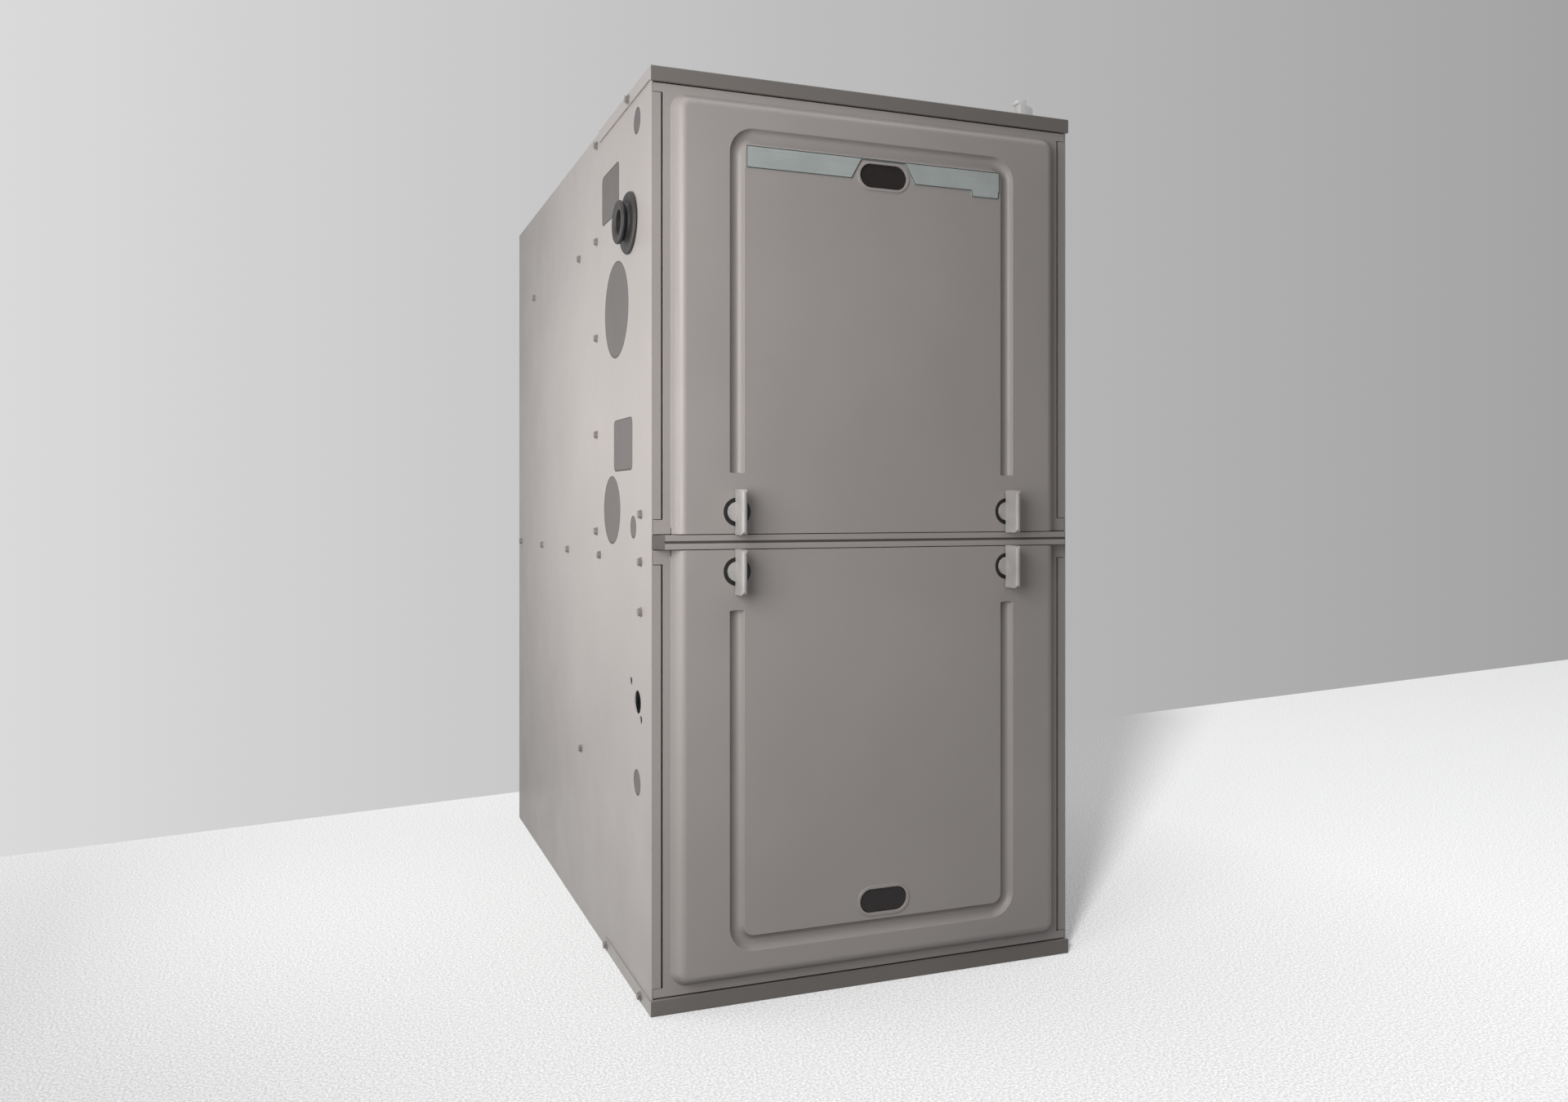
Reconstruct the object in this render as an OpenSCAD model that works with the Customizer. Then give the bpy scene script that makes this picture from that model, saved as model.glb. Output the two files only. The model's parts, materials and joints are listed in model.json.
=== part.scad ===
// Upflow forced-air gas furnace, condensing type, with two lift-off doors.
// Millimetres. +Z up, -Y the front with the doors, origin on the floor under the casing's centre.
// "Behind the front" distances (names ending in _s) run from the casing's front plane along +Y.

/* [Casing] */
// Width of the casing over its side panels
case_w = 444.5; // [430:1:620]
// Depth of the casing from front plane to back
case_d = 722; // [700:1:800]
// Height of the casing with its top plate
case_h = 863.6; // [855:1:1000]
// Thickness of the casing's steel sheet
sheet_t = 1.2; // [0.8:0.1:1.6]
// Width of the casing's front flanges beside the doors
front_flange_w = 8.8; // [7:0.2:12]
// Depth of the lip that turns back from each front flange
flange_lip_d = 10; // [6:0.5:14]
// Width of the duct flanges round the supply and return openings
duct_flange_w = 20; // [14:1:26]
// Length of the top plate, over the burner compartment
top_plate_len = 202; // [196:1:206]
// Length of the base plate, under the controls
base_plate_len = 176; // [170:1:200]
// Height of the top plate's rolled front lip
top_lip_h = 14; // [11:0.5:16]
// Height of the base plate's rolled front lip
base_lip_h = 15; // [12:0.5:17]
// Thickness of the rolled lips
lip_t = 3; // [2.4:0.1:4]
// Height of the plates' side strips, outside the side panels
side_strip_h = 12; // [11:0.5:14]
// Room between a plate's side strip and the side panel
strip_gap = 0.3; // [0.1:0.1:0.5]

/* [Centre rail] */
// Height of the rail's centre above the floor, in the standard casing
rail_z = 430.5; // [428:0.5:434]
// Height of the rail's face
rail_h = 13; // [11:0.5:15]
// Length of the rail's sloping ends
rail_end = 9.2; // [6:0.2:11]
// Height of the keeper strip behind the rail
keeper_h = 24; // [22:0.5:26]

/* [Doors] */
// Gap between a door's edge and the casing's front flange
door_side_gap = 2; // [1:0.2:3]
// Gap between a door's ends and the rail or the rolled lips
door_end_gap = 0.8; // [0.5:0.1:1.2]
// Thickness of the door sheet
door_t = 1.2; // [0.9:0.1:1.6]
// How far the raised panel stands out from the door's border
raise_h = 12; // [9:0.5:14]
// Width of the border beside the raised panel
border_w = 7.2; // [5:0.2:9]
// Width of the raised panel's sloping edge
bevel_w = 12.4; // [9:0.2:14]
// Corner radius of the raised panel at its foot
panel_r = 15; // [13:0.5:20]
// Depth of the door's returns into the casing
door_return_d = 10; // [7:0.5:13]
// Height of a door's ears beside the rail
ear_h = 13; // [10:0.5:15]
// Height of a door's ears at its outer end
ear_end_h = 8; // [5:0.5:12]
// Distance of the pressed groove's legs from the door's centre
groove_x = 144; // [136:1:152]
// Radius of the pressed groove's section
groove_r = 8; // [7:0.2:9]
// Depth of the pressed groove
groove_depth = 4.5; // [3.5:0.1:5.5]
// Centre-line radius of the groove's corners
groove_bend_r = 17; // [15:0.5:24]
// Distance of the groove's cross run from the door's outer end
groove_run_in = 43; // [38:1:52]
// Distance of the groove's leg ends from the rail's centre
groove_end_v = 64; // [58:1:80]
// Length of the oval sight ports
port_l = 50; // [42:1:60]
// Height of the oval sight ports
port_h = 23; // [18:1:27]
// Sideways place of the sight ports
port_x = 6; // [0:0.5:10]
// Distance of the sight ports from the door's outer end
port_in = 68; // [64:1:76]
// Thickness of the dark sight glasses
glass_t = 2; // [1.6:0.1:3]
// Half length of the trim strip
strip_x = 135; // [120:1:136]
// Height of the trim strip
strip_h = 20.5; // [18:0.5:24]
// Thickness of the trim strip
strip_t = 0.8; // [0.5:0.1:1.2]

/* [Latches] */
// Distance of each latch from the rail's centre
latch_v = 27.5; // [26:0.5:30]
// Radius of the knob's disc
knob_r = 11; // [10:0.2:12]
// Radius of the hole round the knob
knob_hole_r = 13.2; // [12.6:0.2:15]
// Height of the knob's grip bar
grip_l = 42; // [36:1:42]
// Thickness of the grip bar
grip_t = 5; // [4:0.2:7]
// How far the grip bar stands out from the disc
grip_out = 20; // [16:0.5:24]
// Radius of the knob's shaft
latch_shaft_r = 5; // [4:0.1:6]
// Running clearance of turning shafts
run_gap = 0.06; // [0.04:0.01:0.08]
// Clearance of the pawl's tip from the keeper strip
pawl_gap = 0.6; // [0.4:0.1:1]

/* [Burner compartment] */
// Distance of the vestibule wall behind the front
vest_s = 227; // [225:1:229]
// Height of the burners, the manifold and the gas valve, in the standard casing
burner_z = 738; // [730:1:745]
// Distance of the gas line behind the front
gas_s = 79; // [76:1:84]
// Distance between neighbouring burners
burner_pitch = 75; // [70:1:78]
// Number of burners and heat exchanger tubes
burner_count = 3; // [2:1:3]
// Outer radius of the heat exchanger tubes
tube_r = 22; // [20:0.5:24]
// Height between the passes of a tube
pass_step = 72; // [66:1:74]
// Radius of the gas pipe's hole in the grommet
gas_bore_r = 12; // [11.2:0.1:13]
// Bore radius of the valve's threaded inlet
valve_bore_r = 9.3; // [8.8:0.1:9.8]
// Outer radius of the two-inch vent and air pipes
pipe_r = 30.15; // [28:0.5:31]
// Height of the vent and air collars above the top plate
collar_h = 32; // [24:1:34]
// Centre of the draft inducer's wheel, sideways
inducer_x = 66; // [60:1:70]
// Height of the draft inducer's wheel, in the standard casing
inducer_z = 530; // [526:1:545]
// Radius of the draft inducer's wheel
inducer_r = 52; // [46:1:54]

/* [Blower compartment] */
// Height of the blower deck's top face, in the standard casing
deck_z = 420; // [419:0.5:421]
// Radius of the blower wheel
wheel_r = 127; // [118:1:130]
// Width of the blower wheel
wheel_w = 203; // [190:1:206]
// Number of blades on the blower wheel
blade_count = 36; // [24:2:44]
// Radial depth of the blower's blades
blade_d = 21; // [18:1:24]
// Distance of the blower's axis behind the casing's centre
blower_y = 60; // [50:1:70]
// Height of the blower's axis
blower_z = 188; // [186:1:192]
// Radius of the blower motor
motor_r = 70; // [62:1:74]
// Radius of the blower shaft
shaft_r = 6.35; // [6:0.05:8]

/* [Hidden] */
$fn = 64;
eps = 0.5;

// --- places worked out from the driving dimensions ---
// Heights in this file are given for the standard 34 inch casing. In a taller or lower one the
// blower deck, and all that is above it, moves with the casing's top.
standard_h = 34 * 25.4;
lift = case_h - standard_h;
deck_at = deck_z + lift;
rail_at = rail_z + lift;
burner_at = burner_z + lift;
inducer_at = inducer_z + lift;
front_y = -case_d / 2;
back_y = case_d / 2;
side_x = case_w / 2;
inner_x = side_x - sheet_t;
face_y = front_y - raise_h;
vest_y = front_y + vest_s;
gas_y = front_y + gas_s;
opening_x = side_x - front_flange_w;
door_x = opening_x - door_side_gap;
door_v0 = rail_h / 2 + door_end_gap;
upper_end = case_h - top_lip_h - door_end_gap - rail_at;
lower_end = rail_at - base_lip_h - door_end_gap;
foot_x = door_x - border_w;
port_z = rail_at + upper_end - port_in;
scroll_r0 = wheel_r + 10;
scroll_r1 = wheel_r + 68;

// --- building blocks ---
module box(x, y, z) {
  translate([x[0], y[0], z[0]])
    cube([x[1] - x[0], y[1] - y[0], z[1] - z[0]]);
}

module rod_x(x, y, z, r) {
  translate([x[0], y, z]) rotate([0, 90, 0]) cylinder(r = r, h = x[1] - x[0]);
}

module rod_y(x, y, z, r) {
  translate([x, y[0], z]) rotate([-90, 0, 0]) cylinder(r = r, h = y[1] - y[0]);
}

module rod_z(x, y, z, r) {
  translate([x, y, z[0]]) cylinder(r = r, h = z[1] - z[0]);
}

// A rectangle with round corners, centred, built from exact circles.
module round_rect(w, h, r) {
  square([w - 2 * r, h], center = true);
  square([w, h - 2 * r], center = true);
  for (sx = [-1, 1], sy = [-1, 1])
    translate([sx * (w / 2 - r), sy * (h / 2 - r)]) circle(r = r);
}

// An oval slot shape, centred.
module stadium(l, h) {
  square([l - h, h], center = true);
  for (s = [-1, 1]) translate([s * (l - h) / 2, 0]) circle(r = h / 2);
}

// Stands a flat shape up against the front: its x stays, its y becomes +Z, its depth runs from y[0] to y[1].
module upright(y) {
  translate([0, y[1], 0]) rotate([90, 0, 0]) linear_extrude(y[1] - y[0]) children();
}

// Stands a flat shape up against a side: its x becomes +Y, its y becomes +Z, its depth runs from x[0] to x[1].
module sideways(x) {
  translate([x[0], 0, 0]) rotate([90, 0, 90]) linear_extrude(x[1] - x[0]) children();
}

function unit(v) = v / norm(v);
function smooth_pt(p, i, t) = let(
    a = p[max(i - 1, 0)], b = p[i], c = p[i + 1], d = p[min(i + 2, len(p) - 1)])
  0.5 * (2 * b + (c - a) * t + (2 * a - 5 * b + 4 * c - d) * t * t + (3 * b - a - 3 * c + d) * t * t * t);
// A smooth run of points through the points p, with n steps between neighbours.
function smooth_path(p, n) = let(m = len(p) - 1) concat(
  [p[0], p[0] + unit(p[1] - p[0])],
  [for (i = [0:m - 1], k = [0:n - 1]) if (i + k > 0) smooth_pt(p, i, k / n)],
  [p[m] - unit(p[m] - p[m - 1]), p[m]]);
function tangent(p, i) = let(n = len(p) - 1)
  i < 2 ? unit(p[1] - p[0]) : i > n - 2 ? unit(p[n] - p[n - 1]) : unit(p[i + 1] - p[i - 1]);
function side_dir(t) = abs(t[1]) > 0.9 ? unit(cross(t, [1, 0, 0])) : unit(cross(t, [0, 1, 0]));
// Carries a frame along the path, so that the tube never twists.
function frames(p, i = 0, last = undef) = i >= len(p) ? [] : let(
    t = tangent(p, i),
    u = is_undef(last) ? side_dir(t) : unit(last - t * (last * t)))
  concat([[u, cross(t, u)]], frames(p, i + 1, u));

// A round hose or cable through the points p.
module hose(p, r, n = 4, sides = 8) {
  q = smooth_path(p, n);
  f = frames(q);
  m = len(q);
  pts = [for (i = [0:m - 1], k = [0:sides - 1])
    q[i] + r * (f[i][0] * cos(360 * k / sides) + f[i][1] * sin(360 * k / sides))];
  walls = [for (i = [0:m - 2], k = [0:sides - 1]) let(
      a = i * sides + k, b = i * sides + (k + 1) % sides)
    each [[a, a + sides, b], [b, a + sides, b + sides]]];
  polyhedron(points = pts, faces = concat(walls,
    [[for (k = [0:sides - 1]) k]],
    [[for (k = [sides - 1:-1:0]) (m - 1) * sides + k]]), convexity = 6);
}

// A hex washer-head screw whose head sits on the face at its origin and points along +Z.
screw_head_r = 4.6;
screw_head_h = 3.4;
screw_r = 1.9;
screw_len = 3;
module hex_screw() {
  cylinder(r = screw_head_r, h = 0.8);
  cylinder(r = 3.6, h = screw_head_h, $fn = 6);
  translate([0, 0, -screw_len]) cylinder(r = screw_r, h = screw_len);
}

// The hole for a screw that points inwards along +X from the outer left face, at [behind the front, height].
module side_holes(ps) {
  for (p = ps) rod_x([-strip_x1 - 1, -side_x + screw_len + 1], front_y + p[0], p[1], screw_r + 0.1);
}

module back_holes() {
  for (p = back_screws) rod_y(p[0], [back_y - screw_len - 1, back_y + 1], p[1], screw_r + 0.1);
}

// ---------------------------------------------------------------- casing

// Places on the left side panel, as [behind the front, height].
left_round_knockouts = [[132, case_h - 201.6, 49], [150, deck_at + 39, 35], [65, deck_at + 23, 11.1],
  [51, case_h - 34.6, 12.5], [51, 201, 12.5]];
left_square_knockouts = [[157, case_h - 78.6], [105, deck_at + 104]];
square_knockout = [74, 52, 7];
power_entry = [48.3, deck_at - 142.3, 11.1];
box_screw_holes = [[72.5, power_entry[1] + 16.7], [36.6, power_entry[1] - 14.9]];
box_screw_r = 3.9;
wall_screw_zs = [for (k = [0:4]) deck_at + 16 + k * (case_h - deck_at - 26.8) / 4];
deck_screw_step = (case_d - 58.4) / 4;
deck_screws = [for (k = [0:4]) 37 + k * deck_screw_step];
deck_screw_z = deck_at - 9;
wall_screw_s = vest_s - 9.4;
rail_screws = [[36.6, rail_at - 66.5], [36.6, rail_at + 25.1]];
exchanger_screws = [[304, case_h - 116.6], [case_d - 128.5, case_h - 113.6], [295.4, 186]];
knockout_in = 1.5;
wall_screws = [for (z = wall_screw_zs) [wall_screw_s, z]];
deck_side_screws = [for (s = deck_screws) [s, deck_screw_z]];
strip_screws = [[78, case_h - 6], [33, 6], [base_plate_len - 8, 6]];
seam_zs = [40, 200, deck_at - 40, deck_at + 180, case_h - 43.6];
seam_screws = [for (sx = [-1, 1], z = seam_zs) [sx * (side_x - 8), z]];
back_screws = concat(seam_screws, [for (x = [-150, 150]) [x, deck_screw_z]]);

// One flange strip beside a door, between two heights, on the left.
module front_flange(z) {
  box([-side_x, -opening_x], [front_y, front_y + sheet_t], z);
  box([-opening_x - sheet_t, -opening_x], [front_y, front_y + flange_lip_d], z);
}

module side_blank() {
  top = case_h - sheet_t;
  rear = back_y - sheet_t;
  box([-side_x, -inner_x], [front_y, rear], [sheet_t, top]);
  // the parts behind the top and base plates reach the full height
  box([-side_x, -inner_x], [front_y + top_plate_len, rear], [top - eps, case_h]);
  box([-side_x, -inner_x], [front_y + base_plate_len, rear], [0, sheet_t + eps]);
  // seam flange against the back panel
  box([-side_x, -side_x + 16], [rear - sheet_t, rear], [sheet_t + 0.2, top - 0.2]);
  front_flange([rail_at + door_v0 + ear_h + 0.6, rail_at + upper_end - ear_end_h - 0.6]);
  front_flange([rail_at - lower_end + ear_end_h + 0.6, rail_at - door_v0 - ear_h - 0.6]);
}

// Screw holes of a side panel, and the holes in its flange at the back.
module side_panel_holes() {
  side_holes(concat(wall_screws, deck_side_screws, strip_screws, rail_screws, exchanger_screws));
  back_holes();
}

// A hole or plate shape on the side, at [behind the front, height].
module at_side(p) { translate([front_y + p[0], p[1]]) children(); }

module knockout_shapes(grow) {
  for (k = left_round_knockouts) at_side(k) circle(r = k[2] + grow);
  for (k = left_square_knockouts)
    at_side(k) round_rect(square_knockout[0] + 2 * grow, square_knockout[1] + 2 * grow, square_knockout[2]);
}

// The knockouts, part of the sheet: punched almost free and set back by the sheet's thickness.
module knockouts() { sideways([-inner_x - 0.01, -inner_x + knockout_in]) knockout_shapes(1.5); }

module left_side_panel() {
  color([0.66, 0.64, 0.62]) {
    difference() {
      side_blank();
      sideways([-side_x - eps, -inner_x + eps]) {
        knockout_shapes(0);
        at_side(power_entry) circle(r = power_entry[2]);
        for (h = box_screw_holes) at_side(h) circle(r = box_screw_r);
      }
      side_panel_holes();
      rod_x([-side_x - eps, -inner_x + eps], gas_y, burner_at, grommet_neck_r);
    }
    knockouts();
  }
}

module right_side_panel() {
  color([0.6, 0.58, 0.56]) mirror([1, 0, 0]) {
    difference() {
      side_blank();
      side_panel_holes();
      sideways([-side_x - eps, -inner_x + eps]) knockout_shapes(0);
    }
    knockouts();
  }
}

module back_panel() {
  color([0.6, 0.58, 0.56]) difference() {
    rear = back_y - sheet_t;
    union() {
    box([-side_x, side_x], [rear, back_y], [0, case_h]);
      // stiffening beads pressed along the panel
      for (x = [-110, 0, 110]) box([x - 5, x + 5], [rear - 2, rear + eps],
        [deck_at + 100, case_h - 63.6]);
    }
    back_holes();
  }
}

strip_x0 = side_x + strip_gap;
strip_x1 = side_x + strip_gap + sheet_t;
collar_hole_r = pipe_r + 4.5;
vent_x = 162;
vent_y = front_y + 132;
air_x = -48;
air_y = front_y + 150;

// A lip along the front edge, rolled over into a flat hem with a round nose, z[0] to z[1].
module rolled_lip(z) {
  r = lip_t / 2;
  sideways([-strip_x1, strip_x1]) translate([front_y - lip_t, z[0]]) {
    translate([0, r]) square([lip_t, z[1] - z[0] - 2 * r]);
    for (v = [r, z[1] - z[0] - r]) translate([r, v]) circle(r = r);
    translate([r, 0]) square([r, z[1] - z[0]]);
  }
}

module top_plate() {
  color([0.6, 0.58, 0.57]) difference() {
    union() {
      box([-strip_x1, strip_x1], [front_y - r_nose(), front_y + top_plate_len], [case_h - sheet_t, case_h]);
      rolled_lip([case_h - top_lip_h, case_h]);
      for (s = [0, 1]) mirror([s, 0, 0])
        box([-strip_x1, -strip_x0], [front_y - r_nose(), front_y + top_plate_len], [case_h - side_strip_h, case_h]);
      // tongue between the side panels, back to the supply flange
      box([-inner_x, inner_x], [front_y + top_plate_len - eps, flange_y0], [case_h - sheet_t, case_h]);
    }
    rod_z(vent_x, vent_y, [case_h - 3, case_h + 1], collar_hole_r);
    rod_z(air_x, air_y, [case_h - 3, case_h + 1], collar_hole_r);
    rod_z(clip_x, clip_y, [case_h - 3, case_h + 1], clip_hole_r);
    for (s = [0, 1]) mirror([s, 0, 0]) side_holes(strip_screws);
  }
}
function r_nose() = lip_t / 2;

// A flat ring between the side panels, round a duct opening, from y0 to the back panel.
module duct_ring(y0, z, w_front) {
  difference() {
    box([-inner_x, inner_x], [y0, back_y - sheet_t], [z, z + sheet_t]);
    box([-inner_x + duct_flange_w, inner_x - duct_flange_w],
      [y0 + w_front, back_y - sheet_t - duct_flange_w], [z - 1, z + sheet_t + 1]);
  }
}

flange_y0 = vest_y - 1;
module supply_flange() {
  color([0.6, 0.58, 0.57]) {
    duct_ring(flange_y0 + 0.01, case_h - sheet_t, 10);
    // legs down the side panels
    for (s = [0, 1]) mirror([s, 0, 0])
      box([-inner_x, -inner_x + sheet_t], [vest_y + 4, back_y - 24], [case_h - 18, case_h - eps]);
  }
}

module base_plate() {
  color([0.58, 0.56, 0.56]) difference() {
    union() {
      box([-strip_x1, strip_x1], [front_y - r_nose(), front_y + base_plate_len], [0, sheet_t]);
      rolled_lip([0, base_lip_h]);
      for (s = [0, 1]) mirror([s, 0, 0])
        box([-strip_x1, -strip_x0], [front_y - r_nose(), front_y + base_plate_len], [0, side_strip_h]);
      duct_ring(front_y + base_plate_len - 10, 0, 10);
      // turned-up edge in front of the return opening
      box([-inner_x + duct_flange_w, inner_x - duct_flange_w],
        [front_y + base_plate_len - sheet_t, front_y + base_plate_len], [0, 14]);
    }
    for (s = [0, 1]) mirror([s, 0, 0]) side_holes(strip_screws);
  }
}

rail_mark = 1.4;
// The rail seen from above, with sloping ends, drawn in by c on the outside and stopping short of the casing by back.
module rail_plan(c, back) {
  slope = rail_end / raise_h;
  x0 = side_x - c - slope * back;
  x1 = side_x - c - slope * (raise_h - c);
  polygon([[-x0, front_y - back], [-x1, face_y + c], [x1, face_y + c], [x0, front_y - back]]);
}

module centre_rail() {
  color([0.66, 0.64, 0.63]) {
    difference() {
      translate([0, 0, rail_at - rail_h / 2]) difference() {
        linear_extrude(rail_h) rail_plan(0, 0);
        translate([0, 0, sheet_t]) linear_extrude(rail_h - 2 * sheet_t) rail_plan(sheet_t, sheet_t);
      }
      // the seam line along the rail's face
      sideways([-side_x - eps, side_x + eps]) translate([face_y, rail_at])
        polygon([[-0.1, -rail_mark], [0.8, 0], [-0.1, rail_mark]]);
    }
    // keeper strip that the latches reach for
    box([-foot_x + 1, foot_x - 1], [front_y - 0.3, front_y + sheet_t],
      [rail_at - keeper_h / 2, rail_at + keeper_h / 2]);
    // its leg back onto the blower deck
    box([-foot_x + 1, foot_x - 1], [front_y, front_y + 34], [deck_at, deck_at + sheet_t]);
  }
}

deck_flange_h = 18;
deck_front = front_y + 14;
outlet_front = blower_y - 24;
outlet_back = blower_y + scroll_r1;
module blower_deck() {
  color([0.72, 0.73, 0.74]) difference() {
    union() {
      box([-inner_x, inner_x], [deck_front, back_y - 2 * sheet_t], [deck_at - sheet_t, deck_at]);
      for (s = [0, 1]) mirror([s, 0, 0])
        box([-inner_x, -inner_x + sheet_t], [deck_front, back_y - 2 * sheet_t],
          [deck_at - deck_flange_h, deck_at]);
      for (y = [deck_front, back_y - 3 * sheet_t])
        box([-inner_x, inner_x], [y, y + sheet_t], [deck_at - deck_flange_h, deck_at]);
    }
    for (s = [0, 1]) mirror([s, 0, 0]) side_holes(deck_side_screws);
    back_holes();
    box([-house_x + sheet_t, house_x - sheet_t], [outlet_front + sheet_t, outlet_back - sheet_t],
      [deck_at - 5, deck_at + 5]);
    // holes for the drain hose and the wiring
    rod_z((drain_x + trap_in_x) / 2, drain_y, [deck_at - 5, deck_at + 5], 19);
    rod_z(wire_x, wire_y, [deck_at - 5, deck_at + 5], 15);
  }
}

vest_flange = 18;
wall_top = case_h - sheet_t;
module vestibule_wall() {
  color([0.7, 0.71, 0.72]) difference() {
    union() {
      box([-inner_x, inner_x], [vest_y, vest_y + sheet_t], [deck_at, wall_top]);
      for (s = [0, 1]) mirror([s, 0, 0])
        box([-inner_x, -inner_x + sheet_t], [vest_y - vest_flange, vest_y], [deck_at, wall_top]);
      for (z = [deck_at, wall_top - sheet_t])
        box([-inner_x, inner_x], [vest_y - vest_flange, vest_y], [z, z + sheet_t]);
    }
    for (x = burner_xs()) rod_y(x, [vest_y - 1, vest_y + 3], burner_at, tube_r);
    upright([vest_y - eps, vest_y + sheet_t + eps]) translate([0, coil_z]) square([2 * coil_x - 6, coil_h - 6], center = true);
    rod_y(limit_x, [vest_y - 1, vest_y + 3], limit_z, 4.6);
    for (s = [0, 1]) mirror([s, 0, 0]) side_holes(wall_screws);
  }
}

liner_t = 12;
liner_gap = 0.4;
module insulation_liner() {
  color([0.78, 0.78, 0.76]) {
    z = [deck_at + 1, case_h - 20];
    for (s = [0, 1]) mirror([s, 0, 0])
      box([-inner_x + knockout_in + liner_gap, -inner_x + liner_t], [vest_y + sheet_t + 1, back_y - 22], z);
    box([-inner_x + liner_t + 1, inner_x - liner_t - 1], [back_y - 3.5 - liner_t, back_y - 3.5], z);
  }
}

// Screws on a side wall at [behind the front, height], on the left.
module side_screws(ps, x) {
  for (p = ps) translate([-x, front_y + p[0], p[1]]) rotate([0, -90, 0]) hex_screw();
}

module casing_screws() {
  color([0.42, 0.41, 0.4]) {
    for (m = [0, 1]) mirror([m, 0, 0]) {
      side_screws(concat(wall_screws, deck_side_screws, rail_screws, exchanger_screws), side_x);
      side_screws(strip_screws, strip_x1);
    }
    for (p = back_screws) translate([p[0], back_y, p[1]]) rotate([-90, 0, 0]) hex_screw();
  }
}

grommet_neck_r = 22;
grommet_lip_r = 30;
grommet_out = 13;
module gas_pipe_grommet() {
  color([0.13, 0.12, 0.12]) translate([-side_x, gas_y, burner_at]) rotate([0, -90, 0])
    difference() {
      rotate_extrude() polygon([[gas_bore_r, -8], [grommet_neck_r + 4, -8], [grommet_neck_r + 4, -sheet_t - 0.4],
        [grommet_neck_r - 0.2, -sheet_t - 0.4], [grommet_neck_r - 0.2, 0.2], [grommet_lip_r, 0.2],
        [grommet_lip_r, 2.2], [grommet_lip_r - 1.4, 3.6], [19, 3.6], [17.2, 5.4], [17.2, 7.4], [19.6, 8.4],
        [21, 10], [21, 11.8], [19.8, grommet_out], [gas_bore_r, grommet_out]]);
      // shallow dish in the outer face
      translate([0, 0, grommet_out - 1.6]) cylinder(r1 = gas_bore_r, r2 = 17, h = 1.8);
    }
}

clip_x = 190;
clip_y = front_y + 28;
clip_hole_r = 3.2;
clip_out = 19;
// A snap-in nylon saddle clip for the thermostat cable, its hook open to the left.
module wire_clip() {
  color([0.95, 0.95, 0.94]) translate([clip_x, clip_y, case_h]) {
    translate([0, 0, 1]) cube([26, 12, 2], center = true);
    translate([0, 0, -5]) cylinder(r = clip_hole_r - 0.3, h = 6);
    for (s = [-1, 1]) translate([s * 2.2, 0, -4.4]) cube([3.6, 3, 2], center = true);
    translate([0, 5, 0]) rotate([90, 0, 0]) linear_extrude(10) {
      translate([2, 1]) square([3.2, clip_out - 6]);
      translate([-1.4, clip_out - 6.6]) difference() {
        circle(r = 6.6);
        circle(r = 3.6);
        translate([-8, -16]) square([20, 16]);
        translate([-10, -2]) square([6.2, 20]);
      }
    }
  }
}

// ---------------------------------------------------------------- vent and air pipes

pipe_wall = 3.9;
collar_wall = 4;
collar_low = 46;
stop_z = case_h - 12;
// A rubber collar through the top plate: the pipe from outside drops into its upper half.
module collar(x, y) {
  translate([x, y, 0]) rotate_extrude() {
    polygon([[pipe_r, stop_z + 0.2], [pipe_r, stop_z - collar_low], [pipe_r + collar_wall, stop_z - collar_low],
      [pipe_r + collar_wall, case_h - sheet_t - 0.3], [pipe_r + collar_wall, case_h + 0.2],
      [pipe_r + collar_wall + 5, case_h + 0.2], [pipe_r + collar_wall + 5, case_h + 3],
      [pipe_r + collar_wall, case_h + 4], [pipe_r + collar_wall, case_h + collar_h],
      [pipe_r, case_h + collar_h], [pipe_r, stop_z + 2], [pipe_r - 2.6, stop_z + 2], [pipe_r - 2.6, stop_z + 0.2]]);
  }
}

clamp_w = 11;
module band_clamp(x, y, z) {
  r = pipe_r + collar_wall + 0.1;
  translate([x, y, z]) {
    difference() {
      cylinder(r = r + 0.9, h = clamp_w);
      translate([0, 0, -1]) cylinder(r = r, h = clamp_w + 2);
    }
    translate([-7, -r - 6.4, 1]) cube([14, 5.9, clamp_w - 2]);
    translate([7, -r - 3.6, clamp_w / 2]) rotate([0, 90, 0]) cylinder(r = 3.1, h = 5, $fn = 6);
  }
}

// The vent's coupling and the combustion air's, one moulding each.
module pipe_couplings() {
  color([0.12, 0.12, 0.12]) {
    collar(vent_x, vent_y);
    collar(air_x, air_y);
  }
}

module pipe_clamps() {
  color([0.75, 0.75, 0.77]) for (z = [case_h + 13, stop_z - collar_low + 6]) {
    band_clamp(vent_x, vent_y, z);
    band_clamp(air_x, air_y, z);
  }
}

module pipe_ring(r) {
  difference() {
    circle(r = r);
    circle(r = r - pipe_wall);
  }
}

inducer_out_z = inducer_at + 98;
// The plastic pipes inside: the vent pipe up from the inducer, with its socket, and the air pipe to the burner box.
module inner_pipes() {
  color([0.93, 0.93, 0.91]) {
    translate([vent_x, vent_y, inducer_out_z + 0.2]) {
      linear_extrude(stop_z - inducer_out_z - 0.2) pipe_ring(pipe_r - 0.1);
      difference() {
        cylinder(r = pipe_r + 4, h = 24);
        translate([0, 0, -1]) cylinder(r = pipe_r - 0.2, h = 26);
      }
    }
    translate([air_x, air_y, box_top + 0.2])
      linear_extrude(stop_z - box_top - 0.2) pipe_ring(pipe_r - 0.1);
  }
}

// ---------------------------------------------------------------- burners and gas train

function burner_xs() = [for (k = [0:burner_count - 1]) (k - (burner_count - 1) / 2) * burner_pitch];
box_x = 122;
box_top = burner_at + 52;
box_low = burner_at - 48;
box_front = gas_y + 17;
orifice_r = 5;

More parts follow.
